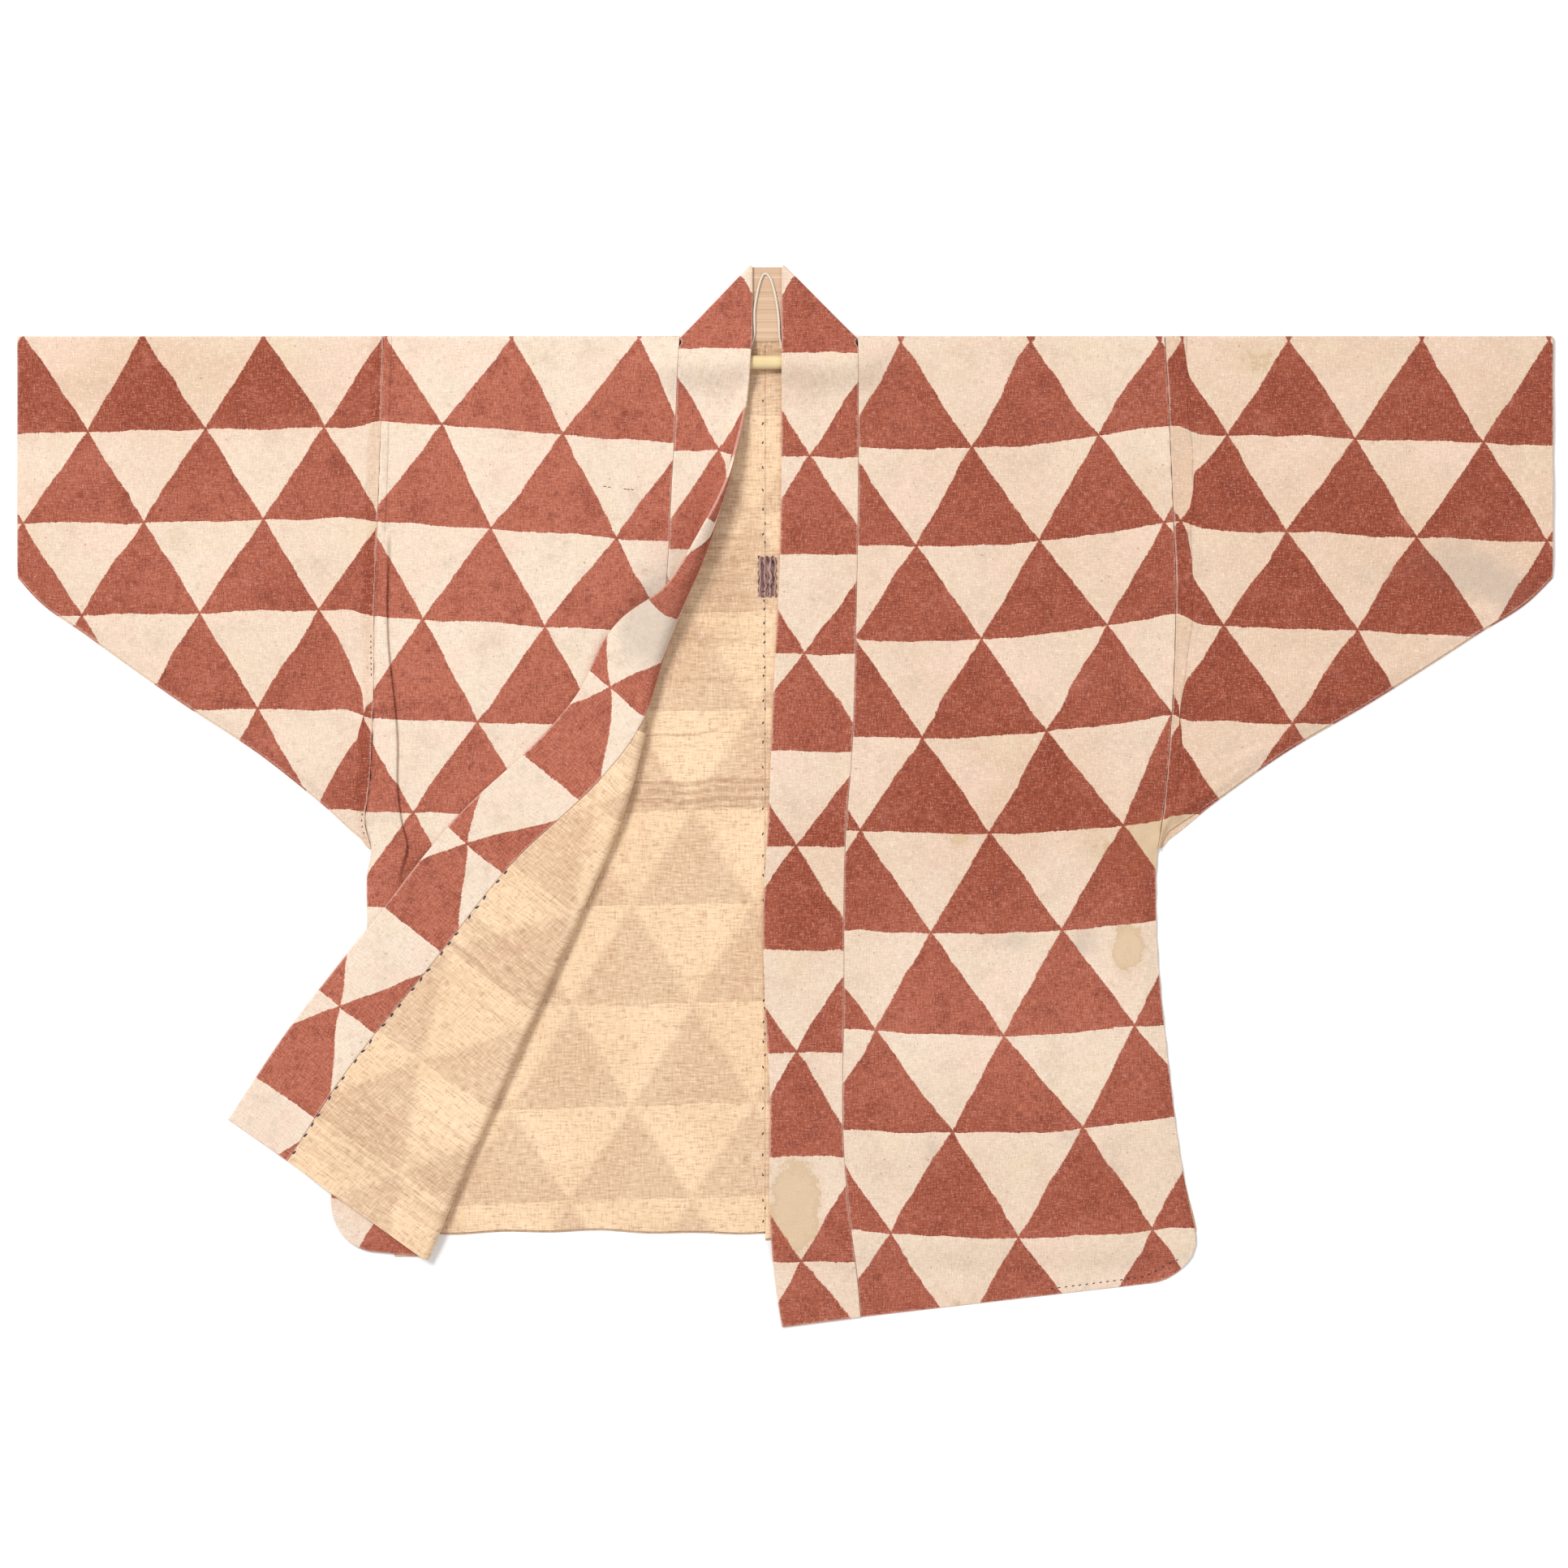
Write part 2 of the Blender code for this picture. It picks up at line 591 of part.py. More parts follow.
def make_sleeve(name, away, side):
    """Sleeve folded flat at the shoulder, sewn along its slanted lower edge."""
    across = np.array([0.0, 0.045, 0.065, 0.15, 0.28, 0.44, 0.60, 0.76, 0.90, 1.0])
    lower = read(SLEEVE_LOWER_EDGE, UNDERARM_X + across * (CUFF_X - UNDERARM_X))
    lower[0] = UNDERARM_Y
    y = sleeve_rows((FRONT_TOP_Y,) + ARMHOLE_ROWS[:-1] + (-26.0, -36.0, UNDERARM_Y), lower, 0.0)
    down = (FRONT_TOP_Y - y) / (FRONT_TOP_Y - lower)
    station = FRONT_TOP_Y - down * (FRONT_TOP_Y - UNDERARM_Y)
    armhole = np.abs(read(side, station)) + SEAM_GAP
    x = away * (armhole + across * (CUFF_X - armhole))
    open_level = FRONT_LEVEL + (CUFF_LEVEL - FRONT_LEVEL) * across
    sewn = smooth(0.0, 14.0, y - lower)
    sewn[:, 0] = smooth(-52.0, -38.0, y[:, 0])
    strip = 0.9 * (1.0 - smooth(0.045, 0.065, across)) * smooth(0.0, 0.02, across)
    level = SEWN_EDGE_LEVEL + (open_level - SEWN_EDGE_LEVEL) * sewn
    front = np.stack([x, y, level + (strip + fold_relief(x, y)) * sewn], axis=-1)
    shoulder, shoulder_outward = over_the_shoulder(front[0])
    back_y = sleeve_rows((NECK_SEAM_Y - SEAM_GAP,) + BACK_ARMHOLE_ROWS, lower, 3.0 * (across > 0))
    back_rows = np.array((NECK_SEAM_Y - SEAM_GAP,) + BACK_ARMHOLE_ROWS)[:, None]
    armhole = np.abs(read(side, back_rows)) + SEAM_GAP
    back_x = away * (armhole + across * (CUFF_X - armhole))
    back = np.stack([back_x, back_y, np.full_like(back_x, BACK_LEVEL)], axis=-1)
    grid = np.concatenate([front[::-1], shoulder, back])
    outward = np.concatenate([np.broadcast_to(UP, front.shape), shoulder_outward,
                              np.broadcast_to(-UP, back.shape)])
    return cloth_piece(name, grid, outward, OUTER_WALL, "outer")


def collar_right_rows(columns):
    """Right front band from its bottom end up to the neck."""
    grid = []
    for row_y in right_rows(*BAND_OVER_ROD_ROWS)[:0:-1]:
        seam_x = read(RIGHT_BAND_SEAM, row_y)
        x = seam_x + columns * (read(RIGHT_BAND_EDGE, row_y) - seam_x)
        slant = (BAND_BOTTOM_Y - RIGHT_HEM_AT_BAND_Y) * columns
        y = row_y + slant * smooth(-388.0, RIGHT_HEM_AT_BAND_Y, row_y)
        past_hem = smooth(RIGHT_BACK_HEM_Y - 4.0, RIGHT_BACK_HEM_Y - 30.0, y)
        level = BAND_LEVEL * (1.0 - past_hem) + NECK_BAND_LEVEL * past_hem
        grid.append(np.stack([x, y, level + rod_lift(x, y)], axis=-1))
    return grid


def collar_corner(seam_x, edge_x, columns, away):
    """Rows through a collar corner, from the front band towards the middle of the back neck.

    The strip folds along a slanting line: first a fan of rows over the front layer, then the
    bend, then a fan over the back layer. Returns the rows and their outer sides.
    """
    radius = (BAND_LEVEL - NECK_BAND_LEVEL) / 2.0
    lean = math.sqrt(0.5)
    centre_x = (NECK_LEFT_X + NECK_RIGHT_X) / 2.0
    fold_x = seam_x + columns * (edge_x - seam_x)
    start_x = fold_x - away * lean * radius
    start_y = NECK_SEAM_Y + columns * (COLLAR_TOP_Y - lean * radius - NECK_SEAM_Y)
    rows, outward = [], []
    for share in (0.4, 1.0):
        y = 378.0 + (start_y - 378.0) * share
        rows.append(np.stack([start_x, y, BAND_LEVEL + rod_lift(start_x, y)], axis=-1))
        outward.append(np.tile(UP, (len(columns), 1)))
    top = rows[-1][:, 2]
    for turn in np.linspace(0.0, math.pi, 5)[1:-1]:
        out = radius * math.sin(turn) * lean
        z = (top + NECK_BAND_LEVEL + (top - NECK_BAND_LEVEL) * math.cos(turn)) / 2.0
        rows.append(np.stack([start_x + away * out, start_y + out, z], axis=-1))
        side = np.array([away * lean * math.sin(turn), lean * math.sin(turn), math.cos(turn)])
        outward.append(np.tile(side, (len(columns), 1)))
    for share in (0.0, 0.5):
        x = start_x + (centre_x - start_x) * share
        rows.append(np.stack([x, start_y, np.full_like(x, NECK_BAND_LEVEL)], axis=-1))
        outward.append(np.tile(-UP, (len(columns), 1)))
    return rows, outward


def make_collar():
    """Collar: one doubled strip up the right front, round the back neck, down the left front."""
    columns = np.linspace(0.0, 1.0, 10)
    right = collar_right_rows(columns)
    right_corner, right_outward = collar_corner(NECK_RIGHT_X, -2.0, columns, 1.0)
    left_corner, left_outward = collar_corner(NECK_LEFT_X, -28.2, columns, -1.0)
    middle = right_corner[-1].copy()
    middle[:, 0] = (NECK_LEFT_X + NECK_RIGHT_X) / 2.0
    left, turned_sides = [], []
    for row_y in left_rows(*BAND_OVER_ROD_ROWS)[1:]:
        seam = read(LEFT_TURN, row_y, 3)
        half_turn = math.pi * read(LEFT_TURN, row_y, 2)
        end = seam + BAND_WIDTH
        bend_start = np.clip(0.0, seam + 4.0, end - 12.0)
        bend_end = np.clip(half_turn, bend_start + 4.0, end - 6.0)
        arcs = np.concatenate([
            np.linspace(seam + SEAM_GAP / 2.0, bend_start, 3)[:-1],
            np.linspace(bend_start, bend_end, 5)[:-1],
            np.linspace(bend_end, end, 4),
        ])
        left.append(turned(row_y, arcs, BAND_UNDER_OUTER))
        turned_sides.append(turned_outward(row_y, arcs))
    up = [np.tile(UP, (len(columns), 1))]
    grid = right + right_corner + [middle] + left_corner[::-1] + left
    outward = (up * len(right) + right_outward + [-up[0]] + left_outward[::-1] + turned_sides)
    return cloth_piece("collar", np.array(grid), np.array(outward), BAND_WALL, "outer")


def make_patch():
    """Small mending patch on the centre-back seam of the lining."""
    x, y = np.meshgrid(np.linspace(-22.5, -7.2, 3), np.linspace(201.0, 167.0, 4))
    level = BACK_LINING_LEVEL + LINING_WALL + SEAM_GAP
    grid = np.stack([x, y, np.full_like(x, level)], axis=-1)
    return cloth_piece("mending_patch", grid, UP, LINING_WALL, "patch")


def make_rod():
    """Short round rod across the neck, between the back lining and the bands."""
    length = ROD_RIGHT_X - ROD_LEFT_X
    bpy.ops.mesh.primitive_cylinder_add(
        vertices=20,
        radius=ROD_RADIUS * MILLIMETRE,
        depth=length * MILLIMETRE,
        location=((ROD_LEFT_X + length / 2.0) * MILLIMETRE, ROD_Y * MILLIMETRE,
                  ROD_LEVEL * MILLIMETRE),
        rotation=(0.0, math.pi / 2.0, 0.0),
    )
    rod = bpy.context.object
    rod.name = "hanging_rod"
    for user in list(rod.users_collection):
        user.objects.unlink(rod)
    coat.objects.link(rod)
    rod.data.materials.append(plain_material("rod"))
    return rod


def smooth_route(points, per_span):
    """Catmull-Rom curve through the cord's points."""
    points = np.array(points, dtype=float)
    padded = np.vstack([2 * points[0] - points[1], points, 2 * points[-1] - points[-2]])
    route = []
    for index in range(len(points) - 1):
        before, here, there, after = padded[index:index + 4]
        for share in np.arange(per_span) / per_span:
            route.append(here + 0.5 * share * (there - before + share * (
                2 * before - 5 * here + 4 * there - after + share * (
                    3 * (here - there) + after - before))))
    route.append(points[-1])
    return route


def make_cord():
    """Slack loop of thin cord from the rod up over the neck band and back."""
    curve = bpy.data.curves.new("hanging_cord", "CURVE")
    curve.dimensions = "3D"
    curve.bevel_depth = CORD_RADIUS * MILLIMETRE
    curve.bevel_resolution = 2
    curve.use_fill_caps = True
    route = smooth_route(CORD_ROUTE, 2)
    spline = curve.splines.new("POLY")
    spline.points.add(len(route) - 1)
    for point, place in zip(spline.points, route):
        point.co = (*(place * MILLIMETRE), 1.0)
    cord = bpy.data.objects.new("hanging_cord", curve)
    coat.objects.link(cord)
    curve.materials.append(plain_material("cord"))
    return cord


for old in list(bpy.data.objects):
    bpy.data.objects.remove(old, do_unlink=True)
coat = bpy.data.collections.new("happi_coat")
bpy.context.scene.collection.children.link(coat)

make_left_body()
make_right_body()
make_sleeve("sleeve_left", -1.0, LEFT_SIDE)
make_sleeve("sleeve_right", 1.0, RIGHT_SIDE)
make_collar()
make_back_lining("lining_back_left", LEFT_SIDE, NECK_LEFT_X, LEFT_BACK_HEM_Y)
make_back_lining("lining_back_right", RIGHT_SIDE, NECK_RIGHT_X, RIGHT_BACK_HEM_Y)
make_left_front_lining()
make_patch()
make_rod()
make_cord()
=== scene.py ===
"""Looks of a lined cotton happi coat that lies flat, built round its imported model.

Lengths are in millimetres until a mesh is made. X runs from cuff to cuff, Y up towards the
collar, Z up from the ground. Each cloth piece is a grid of points on the middle of its wall,
worked out from the same named sizes as the solids, with finer steps.
"""

import math

import bpy
import numpy as np
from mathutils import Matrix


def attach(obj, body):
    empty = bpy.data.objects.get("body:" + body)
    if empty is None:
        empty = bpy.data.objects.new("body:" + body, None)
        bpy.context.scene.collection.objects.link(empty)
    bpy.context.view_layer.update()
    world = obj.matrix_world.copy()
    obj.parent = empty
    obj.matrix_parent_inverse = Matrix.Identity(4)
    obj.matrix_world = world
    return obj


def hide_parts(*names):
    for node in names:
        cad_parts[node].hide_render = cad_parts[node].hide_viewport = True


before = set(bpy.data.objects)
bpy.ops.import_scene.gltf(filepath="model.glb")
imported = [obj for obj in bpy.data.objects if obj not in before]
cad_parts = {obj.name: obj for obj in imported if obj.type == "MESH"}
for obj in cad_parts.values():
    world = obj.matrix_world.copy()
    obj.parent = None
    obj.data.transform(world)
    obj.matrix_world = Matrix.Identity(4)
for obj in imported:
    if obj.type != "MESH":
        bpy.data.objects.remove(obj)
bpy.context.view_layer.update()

MILLIMETRE = 0.001

# Cloth walls and the levels of their middle surfaces
OUTER_WALL = 1.2
LINING_WALL = 1.0
BAND_WALL = 2.6
SEAM_GAP = 0.14
BACK_LEVEL = 0.6
BACK_LINING_LEVEL = 2.0
FRONT_LEVEL = 4.7
SEWN_EDGE_LEVEL = 2.1
LEFT_HEM_LEVEL = 2.5
CUFF_LEVEL = 3.6
BAND_LEVEL = 4.2
NECK_BAND_LEVEL = 1.3
LINING_UNDER_OUTER = 1.4
BAND_UNDER_OUTER = 0.5

# Outline of the coat
SHOULDER_Y = 385.0
NECK_SEAM_Y = 381.0
COLLAR_TOP_Y = 444.6
NECK_LEFT_X = -88.0
NECK_RIGHT_X = 60.0
NECK_CENTRE_X = (NECK_LEFT_X + NECK_RIGHT_X) / 2.0
CENTRE_BACK_X = -16.7
CUFF_X = 643.6
UNDERARM_X = 345.0
UNDERARM_Y = -44.0
LEFT_BACK_HEM_Y = -366.0
RIGHT_BACK_HEM_Y = -372.0
LEFT_FRONT_HEM_Y = -386.0
RIGHT_HEM_AT_BAND_Y = -437.0
RIGHT_HEM_AT_SIDE_Y = -404.0
BAND_BOTTOM_Y = -445.5
BAND_WIDTH = 60.5
BAND_CURL = 12.0
BAND_CURL_Y = 168.0
BAND_CURL_LENGTH = 34.0
HEM_CORNER = 38.0
FRONT_TOP_Y = 383.0
SHOULDER_STEPS = 10
NECK_COLUMNS = 6
# How far a sewn edge takes to rise to its full height, in from the seam
SEWN_REACH = 14.0
UNDERARM_END = (-52.0, -38.0)
# Columns round the bend of the left front and past it, and rows along the cloth
BEND_STEPS = 22
ROW_STEP = 3.4
SLEEVE_STEP = 3.6
BACK_STEP = 9.0
# How far up from the back hem its unevenness reaches
HEM_REACH = 70.0
# Where the collar's rows along the fronts end and its corners begin
COLLAR_START_Y = 375.0

RIGHT_SIDE = (
    # y, x
    (388.0, 318.0), (310.0, 322.0), (230.0, 325.4), (177.0, 327.4), (140.0, 327.0),
    (80.0, 324.7), (31.0, 321.0), (-16.0, 316.5), (-48.0, 312.0), (-99.0, 311.0),
    (-213.0, 320.0), (-342.0, 338.5), (-372.0, 345.0), (-410.0, 347.0),
)
LEFT_SIDE = (
    # y, x
    (388.0, -336.3), (263.0, -340.3), (172.0, -343.7), (55.0, -345.8), (5.0, -348.5),
    (-23.0, -352.0), (-45.0, -347.0), (-66.0, -350.5), (-100.0, -350.5), (-220.0, -361.0),
    (-343.0, -379.0), (-390.0, -381.0),
)
RIGHT_BAND_SEAM = (
    # y, x
    (450.0, 60.0), (284.0, 61.5), (152.0, 59.5), (37.0, 56.0), (-33.0, 50.7),
    (-167.0, 49.3), (-299.0, 49.3), (-353.0, 54.0), (-400.0, 60.0), (-445.0, 64.0),
)
RIGHT_BAND_EDGE = (
    # y, x
    (450.0, -3.0), (324.0, -3.1), (204.0, -4.4), (77.0, -10.5), (-16.0, -14.0),
    (-100.0, -18.5), (-167.0, -17.3), (-255.0, -12.8), (-341.0, -13.3), (-400.0, -9.2),
    (-445.0, -1.0),
)
SLEEVE_LOWER_EDGE = (
    # x, y
    (300.0, -50.0), (345.0, -40.0), (388.0, -4.0), (436.0, 34.0), (509.0, 82.0),
    (588.0, 138.0), (629.0, 168.0), (645.0, 186.0),
)
LEFT_TURN = (
    # y, start_x, radius, seam_arc, angle
    (388.0, -12.0, 15.0, -76.0, 42.0),
    (345.0, -38.0, 15.0, -52.5, 42.0),
    (315.0, -50.0, 15.0, -42.0, 42.0),
    (264.0, -63.0, 14.0, -32.0, 42.0),
    (201.0, -82.5, 13.0, -15.5, 42.0),
    (166.0, -95.0, 10.5, -5.6, 42.0),
    (100.0, -115.0, 6.5, 8.0, 42.0),
    (45.0, -125.4, 5.0, 19.0, 42.0),
    (0.0, -136.5, 4.5, 37.0, 41.0),
    (-100.0, -177.4, 4.0, 80.0, 40.0),
    (-200.0, -223.0, 4.0, 106.6, 38.0),
    (-300.0, -267.7, 4.0, 134.0, 36.0),
    (-390.0, -305.5, 4.0, 152.5, 35.0),
)
# Width of the flat strip where the body laps over each sleeve
LEFT_LAP = (
    # y, width
    (388.0, 9.0), (-44.0, 9.0),
)
RIGHT_LAP = (
    # y, width
    (388.0, 14.5), (250.0, 14.5), (177.0, 11.5), (120.0, 10.0), (80.0, 7.5), (-44.0, 8.5),
)
TURN_LEAN = 21.0
TURN_SETTLE = 70.0
TURN_REST = 6.9
FLOOR_REST = 0.8
LEFT_TUCK = (
    # y, edge, height, under
    (388.0, 10.0, 0.0, 0.0),
    (240.0, 10.0, 0.0, 0.0),
    (225.0, 10.0, 0.0, 0.0),
    (205.0, 10.0, 1.0, 0.0),
    (192.0, 10.0, 1.0, 0.0),
    (186.0, 10.0, 1.0, 0.35),
    (180.0, 10.0, 1.0, 1.0),
    (165.0, 10.0, 1.0, 1.0),
    (135.0, 11.0, 1.0, 1.0),
    (44.0, 21.0, 1.0, 1.0),
    (7.0, 23.0, 1.0, 1.0),
    (-27.0, 31.0, 1.0, 1.0),
    (-44.0, 30.0, 1.0, 1.0),
    (-50.0, 29.3, 1.0, 0.1),
    (-54.0, 28.8, 1.0, 0.0),
    (-60.0, 28.0, 1.0, 0.0),
    (-75.0, 28.0, 0.0, 0.0),
    (-100.0, 28.0, 0.0, 0.0),
    (-390.0, 28.0, 0.0, 0.0),
)
TUCK_HEIGHT = 3.8
TUCK_FOLD = 0.95
FOLDS = (
    # x1, y1, x2, y2, width, height
    (292.0, 20.0, 296.0, -38.0, 7.0, 2.6),
    (284.5, 24.0, 287.5, -42.0, 2.8, 2.2),
    (347.0, 12.0, 400.0, 41.0, 2.6, 1.3),
    (352.0, -2.0, 393.0, 20.0, 8.0, 2.2),
    (322.0, -22.0, 345.0, -10.0, 10.0, 2.4),
    (300.0, -75.0, 312.0, -55.0, 12.0, 1.8),
    (-430.0, 40.0, -365.0, 10.0, 16.0, 1.6),
    (-560.0, 330.0, -540.0, 150.0, 30.0, 1.2),
    (430.0, 350.0, 445.0, 60.0, 32.0, 1.2),
    (560.0, 350.0, 545.0, 160.0, 26.0, 1.0),
    (205.0, 120.0, 200.0, -260.0, 26.0, 1.2),
    (270.0, 140.0, 272.0, 62.0, 6.0, 0.9),
    (110.0, 60.0, 118.0, -330.0, 24.0, 1.0),
    (270.0, -140.0, 290.0, -390.0, 22.0, 1.4),
    (-250.0, 330.0, -262.0, 60.0, 24.0, 1.2),
    (-170.0, 340.0, -178.0, 130.0, 22.0, 1.0),
)
# Slow waves that lie all over the washed cloth
COCKLES = (
    # height, length, direction, start
    (0.26, 96.0, 12.0, 0.3),
    (0.22, 71.0, 64.0, 1.9),
    (0.16, 47.0, 118.0, 4.1),
    (0.12, 31.0, 158.0, 2.6),
    (0.08, 19.0, 38.0, 5.0),
)

# Hanging rod and cord
ROD_RADIUS = 6.0
ROD_Y = 363.0
ROD_LEFT_X = -76.0
ROD_RIGHT_X = 48.0
ROD_LEVEL = 8.8
ROD_LIFT = 13.2
ROD_LIFT_LENGTH = 18.0
ROD_LIFT_SPREAD = 26.0
CORD_RADIUS = 1.0
CORD_ROUTE = (
    # x, y, z
    (-30.6, 370.4, 6.6), (-29.4, 375.6, 5.2), (-27.2, 381.4, 4.2), (-25.8, 389.0, 3.8),
    (-25.8, 405.0, 3.8), (-24.8, 414.0, 3.8), (-22.0, 428.0, 3.8), (-18.8, 436.4, 3.8),
    (-15.6, 437.6, 3.8), (-12.0, 433.0, 3.8), (-8.8, 422.0, 3.8), (-6.6, 410.0, 3.8),
    (-5.4, 399.0, 3.8), (-4.9, 388.0, 3.8), (-4.0, 381.0, 4.2), (-2.4, 375.6, 5.2),
    (-1.4, 370.4, 6.6),
)

# Printed triangles. Each row of a table is one line of their bases: its number, its height at
# the panel's left and right edge, where two corners meet on it, and the triangles' pitch.
SLEEVE_LEFT_PRINT = (
    # line, left_y, right_y, corner_x, pitch
    (0, 386.2, 386.2, -538.2, 101.3),
    (1, 304.6, 309.4, -485.2, 99.3),
    (2, 227.8, 233.2, -538.2, 100.0),
    (3, 150.3, 157.1, -490.6, 100.0),
    (4, 68.7, 74.1, -540.9, 98.6),
    (5, -15.0, -10.9, -492.7, 99.3),
    (6, -97.9, -94.5, -542.3, 99.3),
)
FRONT_LEFT_PRINT = (
    # line, left_y, right_y, corner_x, pitch
    (0, 383.5, 382.8, -228.1, 106.1),
    (1, 314.2, 296.5, -186.0, 102.0),
    (2, 229.8, 213.5, -245.8, 104.0),
    (3, 150.3, 136.7, -201.6, 102.7),
    (4, 64.6, 57.8, -256.7, 102.0),
    (5, -12.9, -19.7, -211.1, 102.0),
    (6, -93.2, -100.0, -264.9, 102.0),
    (7, -174.8, -181.6, -219.3, 102.0),
    (8, -256.4, -263.2, -273.0, 102.0),
    (9, -338.0, -344.8, -228.1, 102.0),
    (10, -419.6, -426.4, -280.5, 102.0),
)
FRONT_RIGHT_PRINT = (
    # line, left_y, right_y, corner_x, pitch
    (0, 380.4, 380.4, 205.0, 108.5),
    (1, 291.7, 310.8, 262.1, 105.4),
    (2, 210.1, 228.5, 213.2, 103.7),
    (3, 129.9, 151.6, 269.6, 105.4),
    (4, 49.6, 68.0, 219.3, 104.7),
    (5, -27.9, -19.7, 281.2, 108.8),
    (6, -112.2, -102.7, 232.2, 110.2),
    (7, -195.2, -190.4, 291.4, 107.8),
    (8, -279.5, -269.3, 249.2, 110.8),
    (9, -363.8, -362.4, 307.7, 110.5),
    (10, -448.1, -445.4, 256.7, 110.8),
)
SLEEVE_RIGHT_PRINT = (
    # line, left_y, right_y, corner_x, pitch
    (0, 381.5, 381.5, 532.1, 108.5),
    (1, 304.6, 293.8, 585.1, 107.4),
    (2, 224.4, 212.8, 529.4, 109.5),
    (3, 144.2, 132.6, 588.5, 110.2),
    (4, 63.2, 55.1, 532.1, 107.4),
    (5, -15.0, -19.7, 586.5, 107.4),
    (6, -94.5, -101.3, 532.1, 107.4),
)
BACK_PRINT = (
    # line, left_y, right_y, corner_x, pitch
    (0, 472.0, 479.0, -179.0, 102.0),
    (1, 391.0, 398.0, -128.0, 102.0),
    (2, 310.0, 317.0, -179.0, 102.0),
    (3, 228.0, 235.0, -128.0, 102.0),
    (4, 146.0, 153.0, -179.0, 102.0),
    (5, 64.0, 71.0, -128.0, 102.0),
    (6, -20.0, -13.0, -181.0, 102.0),
    (7, -98.4, -91.0, -128.0, 102.0),
    (8, -181.0, -173.6, -179.0, 102.0),
    (9, -266.5, -259.1, -128.0, 102.0),
    (10, -344.6, -337.2, -181.0, 102.0),
    (11, -427.0, -420.0, -128.0, 102.0),
)
# The same for the bands, along their length: height against line
RIGHT_BAND_PRINT = (
    # y, line
    (-473.0, 12.0), (-389.6, 11.0), (-302.6, 10.0), (-214.9, 9.0), (-128.5, 8.0), (-42.2, 7.0),
    (37.4, 6.0), (119.0, 5.0), (202.0, 4.0), (284.2, 3.0), (369.2, 2.0), (455.0, 1.0),
)
LEFT_BAND_PRINT = (
    # y, line
    (-42.0, 7.0), (41.0, 6.0), (124.0, 5.0), (207.0, 4.0), (290.0, 3.0), (373.0, 2.0),
    (455.0, 1.0),
)
TURNED_BAND_PRINT = (
    # y, line
    (-430.0, 11.0), (-347.0, 10.0), (-266.0, 9.0), (-187.0, 8.0), (-110.0, 7.0), (-27.0, 6.0),
    (68.0, 5.0), (151.0, 4.0), (234.0, 3.0), (317.0, 2.0), (400.0, 1.0),
)
# How far the lines across the right front sag in their middle
PRINT_SAG = 7.5
# X of the left and right edge of each printed panel
LEFT_SLEEVE_PANEL = (-644.0, -340.0)
LEFT_PANEL = (-340.0, -100.0)
RIGHT_PANEL = (60.0, 320.0)
RIGHT_SLEEVE_PANEL = (320.0, 644.0)
BAND_PITCH = 105.0
BAND_CORNER = 38.0


def smooth(low, high, value):
    """0 up to low, 1 from high on, and an even slope in between."""
    share = np.clip((value - low) / (high - low), 0.0, 1.0)
    return share * share * (3.0 - 2.0 * share)


def between(first, second, share):
    """The first number at share 0, the second at 1, and a straight change in between."""
    return first + (second - first) * share


def points(x, y, z):
    """Points in space from numbers or grids of X, Y and Z."""
    return np.stack(np.broadcast_arrays(x, y, z), axis=-1)


def read(table, value, column=1):
    """Smooth curve through a table's first column and the named one, read at value."""
    rows = np.array(sorted(table), dtype=float)
    station = rows[:, 0]
    level = rows[:, column]
    slope = np.gradient(level, station)
    value = np.clip(value, station[0], station[-1])
    row = np.clip(np.searchsorted(station, value) - 1, 0, len(station) - 2)
    length = station[row + 1] - station[row]
    share = (value - station[row]) / length
    rise = level[row + 1] - level[row]
    start = slope[row] * length - rise
    end = rise - slope[row + 1] * length
    bulge = share * (1.0 - share) * (start * (1.0 - share) + end * share)
    return level[row] + share * rise + bulge


def fold_relief(x, y):
    """Sum of the soft ridges and troughs: a bell across each line, fading at its ends."""
    total = np.zeros(np.broadcast(x, y).shape)
    for x1, y1, x2, y2, width, height in FOLDS:
        length = math.hypot(x2 - x1, y2 - y1)
        along = ((x - x1) * (x2 - x1) + (y - y1) * (y2 - y1)) / length
        across = ((x - x1) * (y2 - y1) - (y - y1) * (x2 - x1)) / length
        ends = smooth(-width, width, along) * smooth(-width, width, length - along)
        total = total + height * ends * np.exp(-(across / width) ** 2)
    return total


def cockle(x, y):
    """Slow waves: sines in several directions, each bent by a longer one."""
    total = np.zeros(np.broadcast(x, y).shape)
    for height, length, direction, start in COCKLES:
        angle = math.radians(direction)
        along = (x * math.cos(angle) + y * math.sin(angle)) * math.tau / length
        across = (y * math.cos(angle) - x * math.sin(angle)) * math.tau / length
        total = total + height * np.sin(along + start + 1.4 * np.sin(0.37 * across + start))
    return total


def pucker(inset, along, depth, length, reach):
    """Small gathers beside a seam: a wave along it that dies away from it."""
    wave = np.sin(along * math.tau / length + 1.7 * np.sin(along / (1.9 * length)))
    return depth * wave * np.exp(-inset / reach)


def rod_lift(x, y):
    """Rise of the cloth over the rod: a bell along Y, full over the neck, fading beside it."""
    beside = np.maximum(np.maximum(NECK_LEFT_X - x, x - NECK_RIGHT_X), 0.0)
    across = np.exp(-(beside / ROD_LIFT_SPREAD) ** 2)
    return ROD_LIFT * across * np.exp(-((y - ROD_Y) / ROD_LIFT_LENGTH) ** 2)


def past_right_hem(y):
    """0 where the right front lies on the back, 1 where it lies on the ground past its hem."""
    return smooth(RIGHT_BACK_HEM_Y - 4.0, RIGHT_BACK_HEM_Y - 30.0, y)


